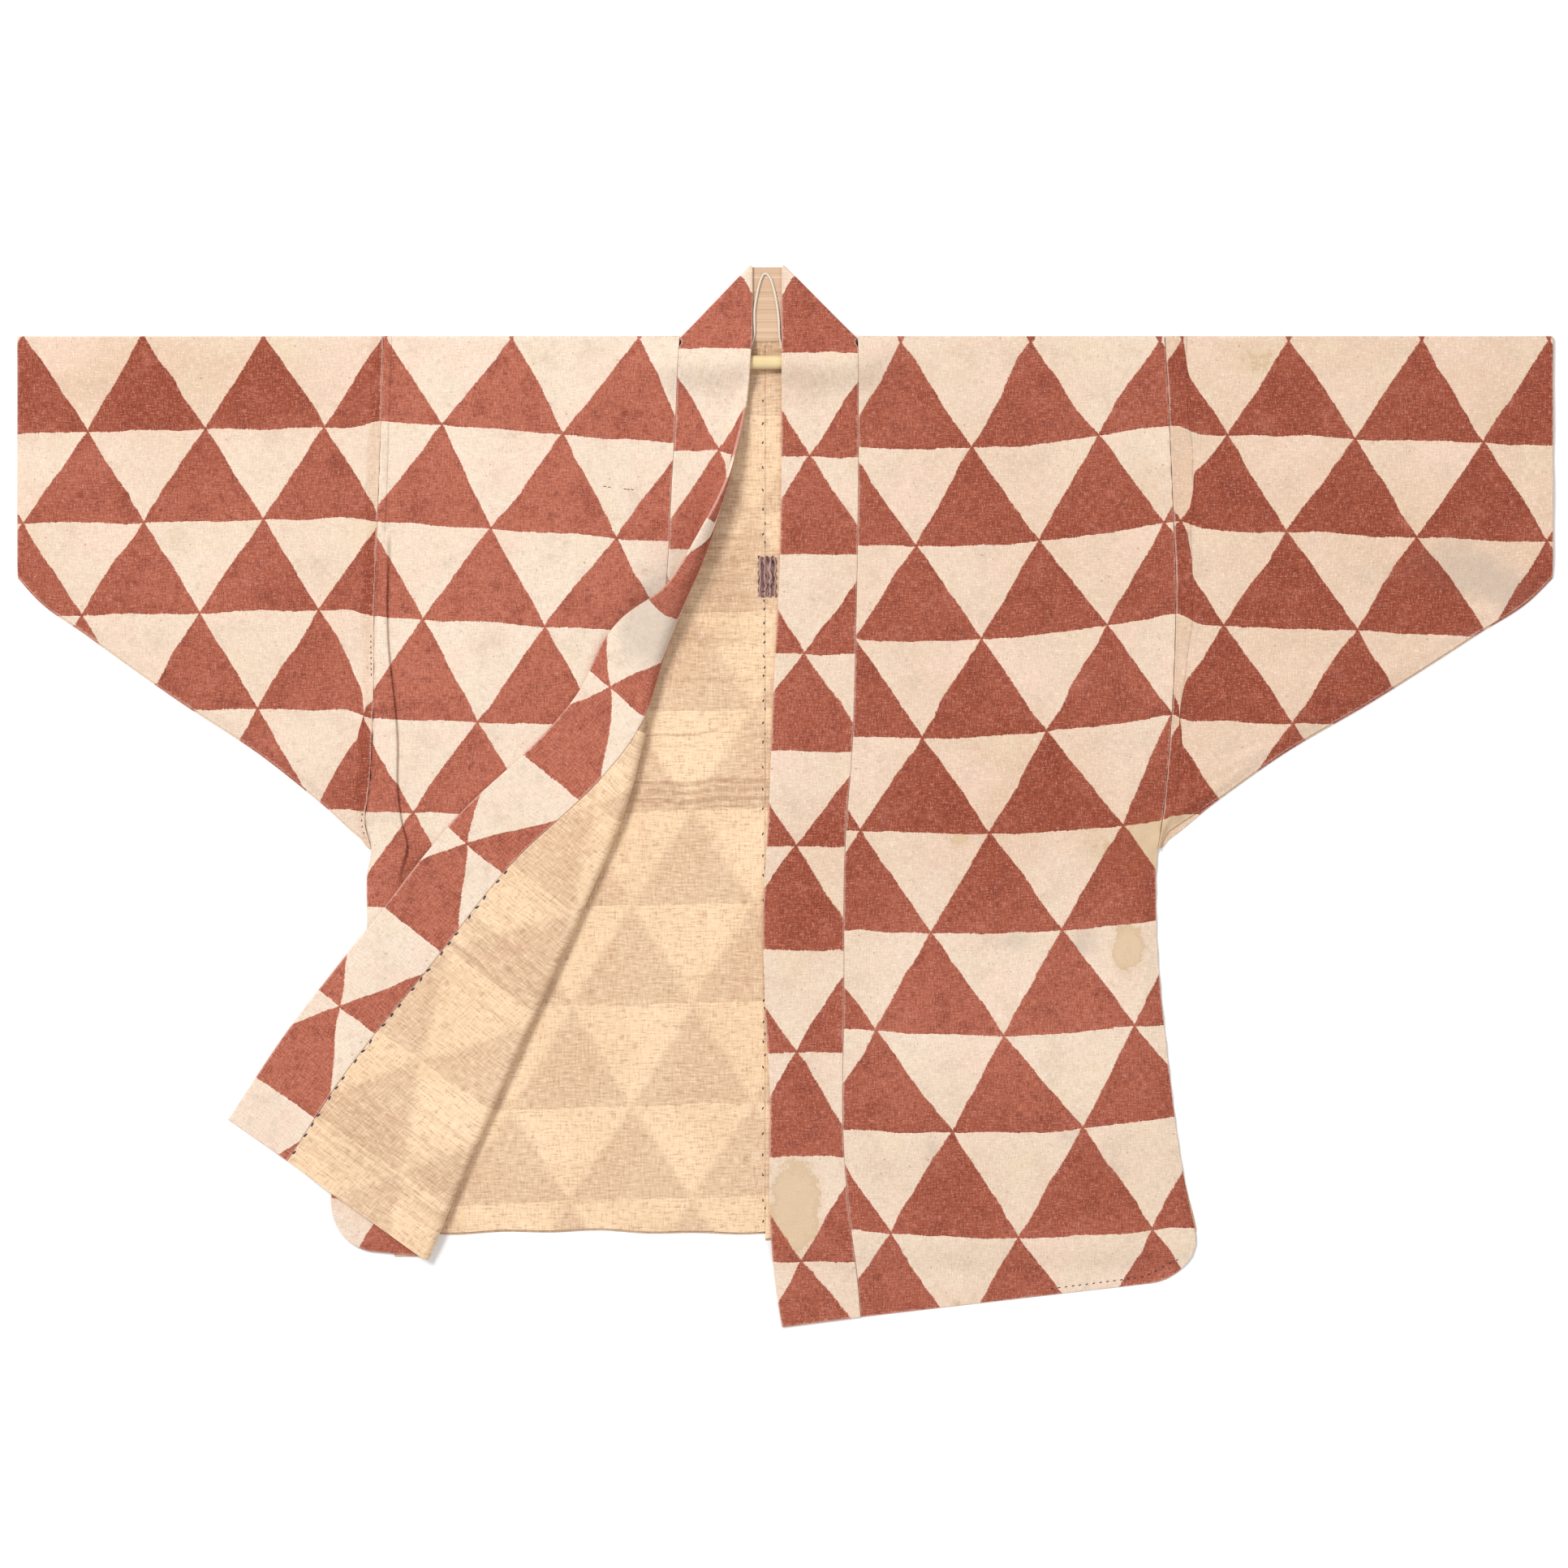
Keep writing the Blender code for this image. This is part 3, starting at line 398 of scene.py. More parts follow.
def sewn_level(inside, y):
    """Height of a front: down to the back at its side seam, but full above the underarm."""
    raised = smooth(0.0, SEWN_REACH, inside) + smooth(*UNDERARM_END, y)
    return between(SEWN_EDGE_LEVEL, FRONT_LEVEL, np.clip(raised, 0.0, 1.0))


def right_front_level(x, y):
    """Height of the right front: flat, down to the back at the side seam and past the hem."""
    inside = read(RIGHT_SIDE, y) - x
    past_hem = past_right_hem(y)
    keep = smooth(0.0, 10.0, inside) * (1.0 - past_hem)
    level = between(sewn_level(inside, y), BACK_LEVEL, past_hem)
    return level + rod_lift(x, y) + (fold_relief(x, y) + cockle(x, y)) * keep


def left_front_level(x, y):
    """Height of the left front, with the lining under it near the hem."""
    inside = x - read(LEFT_SIDE, y)
    past_hem = smooth(LEFT_BACK_HEM_Y - 2.0, LEFT_BACK_HEM_Y - 22.0, y)
    keep = smooth(40.0, 60.0, y) * smooth(50.0, 70.0, inside)
    level = between(sewn_level(inside, y), LEFT_HEM_LEVEL, past_hem)
    return level + rod_lift(x, y) + fold_relief(x, y) * keep


def turned_rest_level(x, y):
    """Height of the turned front: on the left front, over its side seam, down to the ground."""
    inside = x - read(LEFT_SIDE, y)
    on_coat = smooth(-34.0, -2.0, inside)
    tuck = 5.0 * np.exp(-((x + 318.0) ** 2 + (y + 60.0) ** 2) / 20.0 ** 2)
    return between(FLOOR_REST, TURN_REST, on_coat) + tuck


def turned(row_y, arc, under):
    """Point of the left front at arc past its bend, under millimetres below the outer cloth.

    Before the bend the cloth lies flat. Then it runs round half a circle, and after that in a
    straight line over the front, sinking to what lies under it.
    """
    start_x = read(LEFT_TURN, row_y, 1)
    radius = read(LEFT_TURN, row_y, 2)
    angle = np.radians(read(LEFT_TURN, row_y, 4))
    lean = math.radians(TURN_LEAN)
    bend = np.clip(arc / radius, 0.0, math.pi)
    past = np.maximum(arc - math.pi * radius, 0.0)
    before = np.minimum(arc, 0.0)
    out = (radius + under) * np.sin(bend)
    x = start_x + before + out * math.cos(lean) - past * np.cos(angle)
    y = row_y - out * math.sin(lean) + past * np.sin(angle)
    base = left_front_level(start_x + before, row_y)
    height = radius - (radius + under) * np.cos(bend)
    sink = smooth(0.0, TURN_SETTLE, past)
    z_turned = between(base + 2.0 * radius, turned_rest_level(x, y), sink) + under
    return points(x, y, np.where(past > 0.0, z_turned, base + height))


def stations(start, end, step, fine=(0.25, 0.7, 1.4)):
    """Numbers from start to end about a step apart, with finer ones beside both ends."""
    way = math.copysign(1.0, end - start)
    near = np.array((0.0,) + fine)
    inner = abs(end - start) - 2.0 * fine[-1]
    count = max(2, round(inner / step))
    middle = fine[-1] + inner * np.arange(1, count) / count
    return start + way * np.concatenate([near, middle, (abs(end - start) - near)[::-1]])


def shares(width, step):
    """Stations over a width, as shares of it."""
    return stations(0.0, width, step) / width


def side_of(grid):
    """Unit direction square to a grid at each point, from its rows crossed with its columns."""
    side = np.cross(np.gradient(grid, axis=1), np.gradient(grid, axis=0))
    length = np.linalg.norm(side, axis=-1, keepdims=True)
    return np.where(length > 1e-9, side / np.maximum(length, 1e-9), (0.0, 0.0, 1.0))


def distances(grid):
    """Length along each row and each column of a grid, from its first point to every point."""
    across = np.linalg.norm(np.diff(grid, axis=1), axis=-1)
    along = np.linalg.norm(np.diff(grid, axis=0), axis=-1)
    across = np.concatenate([np.zeros((len(grid), 1)), np.cumsum(across, axis=1)], axis=1)
    along = np.concatenate([np.zeros((1, grid.shape[1])), np.cumsum(along, axis=0)], axis=0)
    return across, along


def edge_distance(grid):
    """Distance from each point of a grid to its nearest border."""
    across, along = distances(grid)
    beside = np.minimum(across, across[:, -1:] - across)
    return np.minimum(beside, np.minimum(along, along[-1:] - along))


def printed(table, x, y, panel):
    """Column and line numbers of the triangle print at a point.

    The line number grows by one from each line of bases to the next, which slants from the
    panel's left edge to its right, and falls on above the first line. The column number is the
    distance from a line's corner in pitches, half a pitch further on every other line.
    """
    share = (x - panel[0]) / (panel[1] - panel[0])
    row = np.array(table)
    levels = [between(entry[1], entry[2], share) for entry in row]
    columns = [(x - entry[3]) / entry[4] + (entry[0] % 2) / 2.0 for entry in row]
    line = row[0, 0] + np.minimum(levels[0] - y, 0.0) / row[0, 4]
    column = columns[0]
    for upper, lower, first, second in zip(levels, levels[1:], columns, columns[1:]):
        passed = np.clip((upper - y) / (upper - lower), 0.0, 1.0)
        line = line + passed
        column = column + (second - first) * passed
    return column, line


def blots(table, x, y):
    """Sum of soft round spots."""
    total = np.zeros(np.broadcast(x, y).shape)
    for spot_x, spot_y, width, height, amount in table:
        total = total + amount * np.exp(-((x - spot_x) / width) ** 2
                                        - ((y - spot_y) / height) ** 2)
    return total


# Yellow-brown stains and grey soil on the front, and a grey patch on the turned band beside its
# roll
STAINS = (
    # x, y, width, height, amount
    (8.0, -345.0, 22.0, 44.0, 1.7),
    (288.0, -128.0, 14.0, 16.0, 1.85),
    (146.0, -35.5, 6.0, 3.0, 2.2),
    (300.0, -40.0, 40.0, 30.0, 0.8),
    (322.0, -30.0, 30.0, 26.0, 0.7),
    (393.0, 366.0, 26.0, 16.0, 0.75),
    (120.0, 352.0, 44.0, 18.0, 0.5),
    (300.0, 262.0, 24.0, 40.0, 0.55),
    (12.0, 350.0, 20.0, 30.0, 0.4),
    (-620.0, 250.0, 40.0, 60.0, 0.4),
    (-400.0, 320.0, 30.0, 30.0, 0.35),
    (560.0, 330.0, 50.0, 40.0, 0.4),
    (150.0, -430.0, 60.0, 20.0, 0.5),
    (66.0, 190.0, 24.0, 40.0, 0.35),
    (205.0, -60.0, 120.0, 60.0, 0.25),
    (290.0, 150.0, 26.0, 34.0, 0.45),
)
SOIL = (
    # x, y, width, height, amount
    (190.0, -120.0, 24.0, 14.0, 0.7),
    (250.0, -125.0, 18.0, 12.0, 0.8),
    (560.0, 190.0, 50.0, 26.0, 0.9),
    (610.0, 170.0, 30.0, 20.0, 0.8),
    (250.0, -300.0, 50.0, 30.0, 0.5),
    (120.0, -290.0, 20.0, 16.0, 0.6),
    (440.0, 60.0, 30.0, 20.0, 0.5),
    (-600.0, 110.0, 40.0, 20.0, 0.4),
    (90.0, -20.0, 34.0, 20.0, 0.4),
    (335.0, 215.0, 10.0, 12.0, 0.8),
    # Grey patch over the pale lozenge of the turned band, beside its roll
    (-109.0, 142.0, 30.0, 42.0, 1.3),
)

# Darker and yellower parts, or paler ones, of the outer cloth and of the lining; two of the
# lining's are painted shade
AGE = (
    # x, y, width, height, amount
    (-600.0, 345.0, 90.0, 40.0, 0.2),
    (-500.0, 350.0, 130.0, 42.0, 0.5),
    (180.0, 10.0, 120.0, 75.0, 0.35),
    (180.0, 210.0, 130.0, 120.0, 0.2),
    (190.0, -180.0, 130.0, 70.0, -0.22),
    (300.0, -40.0, 50.0, 60.0, 0.2),
    (580.0, 200.0, 90.0, 60.0, 0.2),
    (20.0, -100.0, 40.0, 120.0, 0.25),
)
LINING_TONE_AND_SHADE = (
    # x, y, width, height, amount
    # Painted shade on the lining beside the turned front's roll
    (-58.0, 190.0, 34.0, 90.0, 0.34),
    # Painted shade along the top of the lining, under the collar and rod
    (-60.0, 385.0, 200.0, 30.0, 0.5),
    (-80.0, 52.0, 95.0, 1.5, 0.75),
    (-60.0, 61.0, 60.0, 1.2, 0.3),
    (-75.0, 12.0, 95.0, 1.7, 0.75),
    (-60.0, 5.0, 90.0, 1.5, 0.55),
    (-80.0, -3.0, 95.0, 1.6, 0.75),
    (-50.0, -9.0, 70.0, 1.4, 0.65),
    (-70.0, 2.0, 90.0, 14.0, 0.2),
    (-60.0, -152.0, 60.0, 1.4, 0.4),
    (-100.0, -222.0, 80.0, 1.5, 0.4),
    (-190.0, -338.0, 200.0, 1.6, 0.3),
    (-10.0, -225.0, 2.6, 5.0, 0.9),
)

CLOTH_ROUGHNESS = 0.95


class Wire:
    """Output of a shader node. Operators on it add Math nodes."""

    def __init__(self, finish, socket):
        self.finish = finish
        self.socket = socket

    def maths(self, operation, first, second=0.0, third=0.0):
        return self.finish.add("ShaderNodeMath", {"operation": operation},
                               {0: first, 1: second, 2: third})

    def __add__(self, other):
        return self.maths("ADD", self, other)

    def __sub__(self, other):
        return self.maths("SUBTRACT", self, other)

    def __rsub__(self, other):
        return self.maths("SUBTRACT", other, self)

    def __mul__(self, other):
        return self.maths("MULTIPLY", self, other)

    def floor(self):
        return self.maths("FLOOR", self)

    def to_nearest(self):
        """Distance from the nearest whole number."""
        return self.maths("PINGPONG", self, 0.5)

    def step(self, low, high):
        """0 up to low, 1 from high on, and an even slope in between."""
        return self.finish.add(
            "ShaderNodeMapRange", {"interpolation_type": "SMOOTHSTEP"},
            {"Value": self, "From Min": low, "From Max": high})


class Finish:
    """Material with its nodes."""

    def __init__(self, name, roughness):
        self.material = bpy.data.materials.new(name)
        self.material.use_nodes = True
        self.tree = self.material.node_tree
        self.shader = self.tree.nodes["Principled BSDF"]
        self.shader.inputs["Roughness"].default_value = roughness
        self.shader.inputs["Specular IOR Level"].default_value = 0.15

    def plug(self, socket, value):
        if isinstance(value, Wire):
            self.tree.links.new(value.socket, socket)
        else:
            socket.default_value = value

    def add(self, kind, settings, sockets, output=0):
        """Any node: its settings first, then the values or links of its sockets."""
        made = self.tree.nodes.new(kind)
        for key, value in settings.items():
            setattr(made, key, value)
        for key, value in sockets.items():
            self.plug(made.inputs[key], value)
        return Wire(self, made.outputs[output])

    def place(self):
        return self.add("ShaderNodeTexCoord", {}, {}, "Object")

    def map(self, name):
        return self.add("ShaderNodeUVMap", {"uv_map": name}, {})

    def mark(self, name):
        """Number that the mesh keeps at its points."""
        return self.add("ShaderNodeAttribute", {"attribute_name": name}, {}, "Fac")

    def parts(self, vector):
        """X and Y of a vector."""
        split = self.add("ShaderNodeSeparateXYZ", {}, {0: vector})
        return split, Wire(self, split.socket.node.outputs[1])

    def stretched(self, vector, x, y, z=1.0):
        return self.add("ShaderNodeVectorMath", {"operation": "MULTIPLY"},
                        {0: vector, 1: (x, y, z)})

    def noise(self, vector, scale, detail=2.0, roughness=0.5):
        return self.add("ShaderNodeTexNoise", {}, {
            "Vector": vector, "Scale": scale, "Detail": detail, "Roughness": roughness})

    def mix(self, share, first, second):
        """Colour between two colours."""
        first = first if isinstance(first, Wire) else (*first, 1.0)
        second = second if isinstance(second, Wire) else (*second, 1.0)
        return self.add("ShaderNodeMix", {"data_type": "RGBA"},
                        {0: share, 6: first, 7: second}, 2)

    def tinted(self, colour, *layers):
        """Colour with layers mixed in, each where its pattern goes from low to high."""
        for pattern, low, high, strength, tint in layers:
            colour = self.mix(pattern.step(low, high) * strength, colour, tint)
        return colour

    def finish(self, colour, height=None, depth=0.0, strength=0.5):
        """Links the colour, and a bump of the given depth in millimetres."""
        self.plug(self.shader.inputs["Base Color"], colour)
        if height is not None:
            bump = self.add("ShaderNodeBump", {}, {
                "Height": height, "Distance": depth * MILLIMETRE, "Strength": strength})
            self.plug(self.shader.inputs["Normal"], bump)
        return self.material


def threads(finish, cloth, per_metre, length=5.0):
    """Uneven threads both ways: noise drawn out along each thread. Returns both."""
    weft = finish.noise(finish.stretched(cloth, per_metre / length, per_metre), 1.0, 1.0)
    warp = finish.noise(finish.stretched(cloth, per_metre, -per_metre / length), 1.0, 1.0)
    return weft, warp


def triangles(finish, weave, cloth, low=-0.015, high=-0.005):
    """1 on the dyed triangles, 0 on the plain ones, with a stepped and wandering edge.

    Under each line of bases the triangles' points start half a pitch further along, and a
    triangle is as wide as it is deep below the line. Over the shoulder the print is mirrored.
    """
    column, line = finish.parts(finish.map("print"))
    wander = finish.noise(cloth, 70.0, 3.0, 0.6)
    drift = finish.noise(finish.stretched(cloth, -1.0, 1.0), 55.0, 3.0, 0.6)
    sway = finish.noise(cloth, 17.0, 1.0)
    swerve = finish.noise(finish.stretched(cloth, -1.0, 1.0), 19.0, 1.0)
    column = column + (wander - 0.5) * 0.035 + (weave - 0.5) * 0.03 + (sway - 0.5) * 0.07
    line = line + (drift - 0.5) * 0.035 + (weave - 0.5) * 0.03 + (swerve - 0.5) * 0.07
    line = line.maths("ABSOLUTE", line)
    row = line.floor()
    depth = line - row
    beside = (column - row * 0.5).to_nearest()
    return (depth * 0.5 - beside).step(low, high)


def printed_cotton():
    """Washed cotton, undyed cream with madder-red triangles, stained and worn at its edges.

    The age kept at the points darkens both colours evenly. Stains, soil and wear come where
    their own marks and a blotchy noise together pass a threshold, and a strong stain has a
    darker rim.
    """
    finish = Finish("printed_cotton", CLOTH_ROUGHNESS)
    cloth = finish.map("cloth")
    weft, warp = threads(finish, cloth, 800.0)
    weave = (weft + warp) * 0.5
    grain = (finish.noise(cloth, 900.0, 2.0, 0.7) + weave) * 0.5
    dyed = triangles(finish, weave, cloth)
    broad = finish.noise(cloth, 8.0, 2.0)
    blotch = finish.noise(cloth, 34.0, 4.0, 0.65)
    mottle = finish.noise(cloth, 105.0, 4.0, 0.7)
    cloud = finish.noise(finish.stretched(cloth, -1.0, 1.0), 15.0, 3.0, 0.6)
    speck = finish.noise(finish.stretched(cloth, 1.0, -1.0), 330.0, 0.0)
    age_and_shade = finish.mark("age_and_shade") + (broad - 0.5) * 0.7 + (blotch - 0.5) * 0.3
    stain = finish.mark("stain") + (blotch - 0.5) * 1.1
    strong = stain + (mottle - 0.5) * 1.6 + (blotch - 0.5) * 0.6
    tide = strong.step(0.66, 0.76) * (1.0 - strong.step(0.76, 1.1))
    soil = finish.mark("soil") + (blotch - 0.5) * 1.3
    wear = finish.mark("wear") + (grain - 0.5) * 1.4 + (blotch - 0.5) * 0.8
    red = finish.mix((age_and_shade * 1.5).step(-0.15, 1.1), (0.445, 0.135, 0.084), (0.285, 0.066, 0.035))
    red = finish.tinted(
        red,
        # pattern, low, high, strength, colour
        (blotch, 0.5, 0.8, 0.6, (0.49, 0.17, 0.115)),
        (blotch, 0.52, 0.28, 0.55, (0.20, 0.040, 0.022)),
        (mottle, 0.5, 0.3, 0.55, (0.20, 0.052, 0.035)),
        (grain, 0.5, 0.64, 0.7, (0.62, 0.26, 0.19)),
        (grain, 0.5, 0.38, 0.6, (0.13, 0.025, 0.015)),
        (strong, 0.66, 0.84, 0.25, (0.33, 0.10, 0.045)),
        (soil, 0.25, 0.9, 0.2, (0.22, 0.08, 0.06)),
        (wear, 0.35, 0.8, 0.6, (0.68, 0.40, 0.32)))
    cream = finish.mix(age_and_shade.step(-0.2, 1.1), (0.79, 0.65, 0.52), (0.66, 0.45, 0.31))
    cream = finish.tinted(
        cream,
        # pattern, low, high, strength, colour
        (cloud, 0.48, 0.66, 0.5, (0.80, 0.57, 0.45)),
        (cloud, 0.47, 0.3, 0.5, (0.75, 0.60, 0.42)),
        (blotch, 0.5, 0.76, 0.55, (0.60, 0.46, 0.35)),
        (mottle, 0.5, 0.74, 0.45, (0.56, 0.42, 0.32)),
        (grain, 0.5, 0.64, 0.5, (0.93, 0.83, 0.73)),
        (grain, 0.5, 0.37, 0.45, (0.50, 0.35, 0.25)),
        (speck, 0.79, 0.84, 0.5, (0.32, 0.20, 0.12)),
        (stain, 0.1, 0.9, 0.42, (0.62, 0.46, 0.30)),
        (strong, 0.66, 0.84, 0.5, (0.62, 0.44, 0.26)))
    cream = finish.mix(tide * 0.3, cream, (0.50, 0.33, 0.18))
    cream = finish.tinted(cream, (soil, 0.25, 0.9, 0.45, (0.44, 0.37, 0.31)))
    return finish.finish(finish.mix(dyed, cream, red), grain + blotch * 0.5, 0.5, 0.7)


def plain_cotton():
    """Undyed cotton on the inner side of the collar and the outer cloth."""
    finish = Finish("plain_cotton", CLOTH_ROUGHNESS)
    cloth = finish.map("cloth")
    weft, warp = threads(finish, cloth, 800.0)
    weave = (weft + warp) * 0.5
    broad = finish.noise(cloth, 20.0, 3.0)
    colour = finish.mix(broad.step(0.35, 0.7), (0.53, 0.34, 0.21), (0.64, 0.44, 0.30))
    colour = finish.tinted(
        colour,
        (weave, 0.5, 0.66, 0.5, (0.76, 0.58, 0.43)),
        (weave, 0.5, 0.34, 0.4, (0.34, 0.21, 0.13)))
    return finish.finish(colour, weave, 0.4, 0.6)


def gauze():
    """Coarse open cotton: uneven threads with darker gaps, and the print behind it showing."""
    finish = Finish("open_weave_lining", CLOTH_ROUGHNESS)
    cloth = finish.map("cloth")
    weft, warp = threads(finish, cloth, 640.0, 6.0)
    slub = finish.noise(finish.stretched(cloth, 5.0, 160.0), 1.0, 3.0, 0.6)
    broad = finish.noise(cloth, 11.0, 3.0)
    fine = finish.noise(cloth, 1000.0, 1.0)
    weave = weft * 0.4 + warp * 0.3 + fine * 0.3
    ghost = triangles(finish, weave, cloth, -0.05, 0.05)
    # The age mark darkens the lining; on the back lining it also holds painted shade beside the
    # roll and under the collar
    dark = finish.mark("age_and_shade") + (slub - 0.5) * 1.2
    colour = finish.mix(broad.step(0.3, 0.7), (0.79, 0.55, 0.345), (0.86, 0.63, 0.415))
    colour = finish.mix(ghost * 0.38, colour, (0.47, 0.27, 0.175))
    colour = finish.tinted(
        colour,
        (dark, 0.05, 0.6, 0.6, (0.42, 0.24, 0.14)),
        (weave, 0.51, 0.62, 0.45, (0.95, 0.77, 0.56)),
        (weave, 0.49, 0.37, 0.55, (0.38, 0.22, 0.14)))
    return finish.finish(colour, weave + slub * 0.5, 0.8, 0.8)


def patch_cotton():
    """Faded purple-brown scraps in upright strips, with paler threads between them."""
    finish = Finish("purple_scrap", CLOTH_ROUGHNESS)
    cloth = finish.map("cloth")
    weft, warp = threads(finish, cloth, 900.0)
    blotch = finish.noise(cloth, 160.0, 3.0)
    across, _ = finish.parts(cloth)
    strip = (across * 235.0 + (blotch - 0.5) * 1.1).to_nearest().step(0.2, 0.08)
    colour = finish.mix(blotch.step(0.35, 0.65), (0.11, 0.045, 0.045), (0.26, 0.13, 0.115))
    colour = finish.mix(strip * 0.75, colour, (0.50, 0.36, 0.29))
    colour = finish.tinted(colour, (warp, 0.5, 0.75, 0.5, (0.42, 0.29, 0.25)))
    return finish.finish(colour, weft + warp + strip, 0.5, 0.7)


def thread(name, dark, light):
    """Cotton thread, darker and lighter along its twist."""
    finish = Finish(name, 0.85)
    twist = finish.noise(finish.place(), 900.0, 2.0)
    return finish.finish(finish.mix(twist.step(0.35, 0.65), dark, light), twist, 0.3, 0.5)


def cane():
    """Smooth split cane: pale yellow with fine streaks along it."""
    finish = Finish("cane", 0.42)
    along = finish.noise(finish.stretched(finish.place(), 12.0, 500.0, 500.0), 1.0, 3.0)
    broad = finish.noise(finish.place(), 30.0, 2.0)
    colour = finish.mix(broad.step(0.35, 0.65), (0.72, 0.53, 0.26), (0.80, 0.64, 0.36))
    colour = finish.tinted(colour, (along, 0.5, 0.75, 0.6, (0.52, 0.35, 0.15)))
    return finish.finish(colour, along, 0.15, 0.4)


def string():
    """Off-white cotton string, shaded along its twist."""
    finish = Finish("cotton_string", 0.9)
    around, along = finish.parts(finish.map("cloth"))
    strand = (around * 3.0 + along * 420.0).to_nearest()
    hairs = finish.noise(finish.place(), 1500.0, 2.0)
    colour = finish.mix(strand.step(0.05, 0.3), (0.45, 0.36, 0.26), (0.84, 0.78, 0.66))
    colour = finish.tinted(colour, (hairs, 0.5, 0.7, 0.4, (0.95, 0.92, 0.84)))
    return finish.finish(colour, hairs, 0.2, 0.4)


def paper_ground():
    """Plain white ground."""
    finish = Finish("white_ground", 0.9)
    grain = finish.noise(finish.place(), 4.0, 2.0)
    colour = finish.mix(grain, (0.93, 0.93, 0.93), (0.95, 0.95, 0.95))
    return finish.finish(colour)


PRINTED = printed_cotton()
PLAIN = plain_cotton()
GAUZE = gauze()


def mesh_of(name, points, faces, finishes, chosen=None, maps=None, marks=None):
    """Object with a smooth mesh from arrays of points in millimetres and of faces."""
    mesh = bpy.data.meshes.new(name)
    mesh.from_pydata((points * MILLIMETRE).tolist(), [], faces)
    for finish in finishes:
        mesh.materials.append(finish)
    mesh.polygons.foreach_set("use_smooth", np.ones(len(mesh.polygons), dtype=bool))
    if chosen is not None:
        mesh.polygons.foreach_set("material_index", chosen)
    corners = np.empty(len(mesh.loops), dtype=np.int32)
    mesh.loops.foreach_get("vertex_index", corners)
    for key, values in (maps or {}).items():
        layer = mesh.uv_layers.new(name=key)
        layer.data.foreach_set("uv", values[corners].astype(np.float32).ravel())
    for key, values in (marks or {}).items():
        layer = mesh.attributes.new(key, "FLOAT", "POINT")
        layer.data.foreach_set("value", values.astype(np.float32))
    made = bpy.data.objects.new(name, mesh)
    bpy.context.scene.collection.objects.link(made)
    return made


def cloth_piece(name, grid, wall, finishes, cloth, marking, marks, facing=1.0, keep=None,
                inner=None):
    """Wall of cloth about a grid of middle points, with rounded borders.

    The two faces lie half the wall to each side along the grid's own square direction, drawn
    together where the border is nearer than the wall is thick. cloth holds the place on the
    flat cloth in millimetres, and marking the print's column and line. The far face has the
    last finish, or where inner is given, has it only on those cells.
    """
    rows, columns = grid.shape[:2]
    if keep is None:
        keep = np.ones((rows - 1, columns - 1), dtype=bool)
    near = np.clip(edge_distance(grid) / (0.45 * wall), 0.0, 1.0)
    half = wall / 2.0 * (0.45 + 0.55 * np.sqrt(1.0 - (1.0 - near) ** 2))
    index = np.arange(rows * columns).reshape(rows, columns)
    cells = np.stack([index[:-1, :-1], index[:-1, 1:], index[1:, 1:], index[1:, :-1]], axis=-1)
    if inner is None:
        inner = np.ones(keep.shape, dtype=bool)
    inner = inner[keep]
    used, cells = np.unique(cells[keep], return_inverse=True)
    cells = cells.reshape(-1, 4)
    side = side_of(grid).reshape(-1, 3)[used] * facing
    middle = grid.reshape(-1, 3)[used]
    half = half.reshape(-1, 1)[used]
    if facing < 0.0:
        cells = cells[:, ::-1]
    points = np.concatenate([middle + side * half, middle - side * half])
    count = len(middle)
    edges = np.concatenate([cells[:, [k, (k + 1) % 4]] for k in range(4)])
    key = edges[:, 0] * count + edges[:, 1]
    back_key = edges[:, 1] * count + edges[:, 0]
    rim = edges[~np.isin(key, back_key)]
    rims = np.stack([rim[:, 1], rim[:, 0], rim[:, 0] + count, rim[:, 1] + count], axis=1)
    faces = np.concatenate([cells, cells[:, ::-1] + count, rims])
    chosen = np.zeros(len(faces), dtype=np.int32)
    chosen[len(cells):2 * len(cells)] = (len(finishes) - 1) * inner
    both = np.concatenate([used, used])
    maps = {
        "cloth": np.stack(cloth, axis=-1).reshape(-1, 2)[both] * MILLIMETRE,
        "print": np.stack(marking, axis=-1).reshape(-1, 2)[both],
    }
    marks = {key: np.broadcast_to(value, (rows, columns)).reshape(-1)[both]
             for key, value in marks.items()}
    return mesh_of(name, points, faces.tolist(), finishes, chosen, maps, marks)


def over_the_shoulder(front_row):
    """Rows from a front's top row round the shoulder fold to the back."""
    turn = np.linspace(0.0, math.pi, SHOULDER_STEPS + 1)[1:-1, None]
    x, y, level = front_row[:, 0], front_row[:, 1], front_row[:, 2]
    middle = (level + BACK_LEVEL) / 2.0
    half = (level - BACK_LEVEL) / 2.0
    return points(x, y + (SHOULDER_Y - FRONT_TOP_Y) * np.sin(turn), middle + half * np.cos(turn))


def behind(grid, front_rows):
    """True on the rows of a grid past the middle of the shoulder fold."""
    return np.arange(len(grid))[:, None] > front_rows + SHOULDER_STEPS // 2


def rounded_hem(share, at_seam, at_side, corner_share):
    """Height of the hem across a front, with a round corner at the side."""
    line = between(at_seam, at_side, share)
    corner = np.clip((share - 1.0 + corner_share) / corner_share, 0.0, 1.0)
    return line + HEM_CORNER * (1.0 - np.sqrt(1.0 - corner ** 2))


def hem_wave(x):
    """Unevenness of the back hem: two sines added."""
    return 1.1 * np.sin(x / 37.0) + 0.8 * np.sin(x / 13.0 + 1.0)


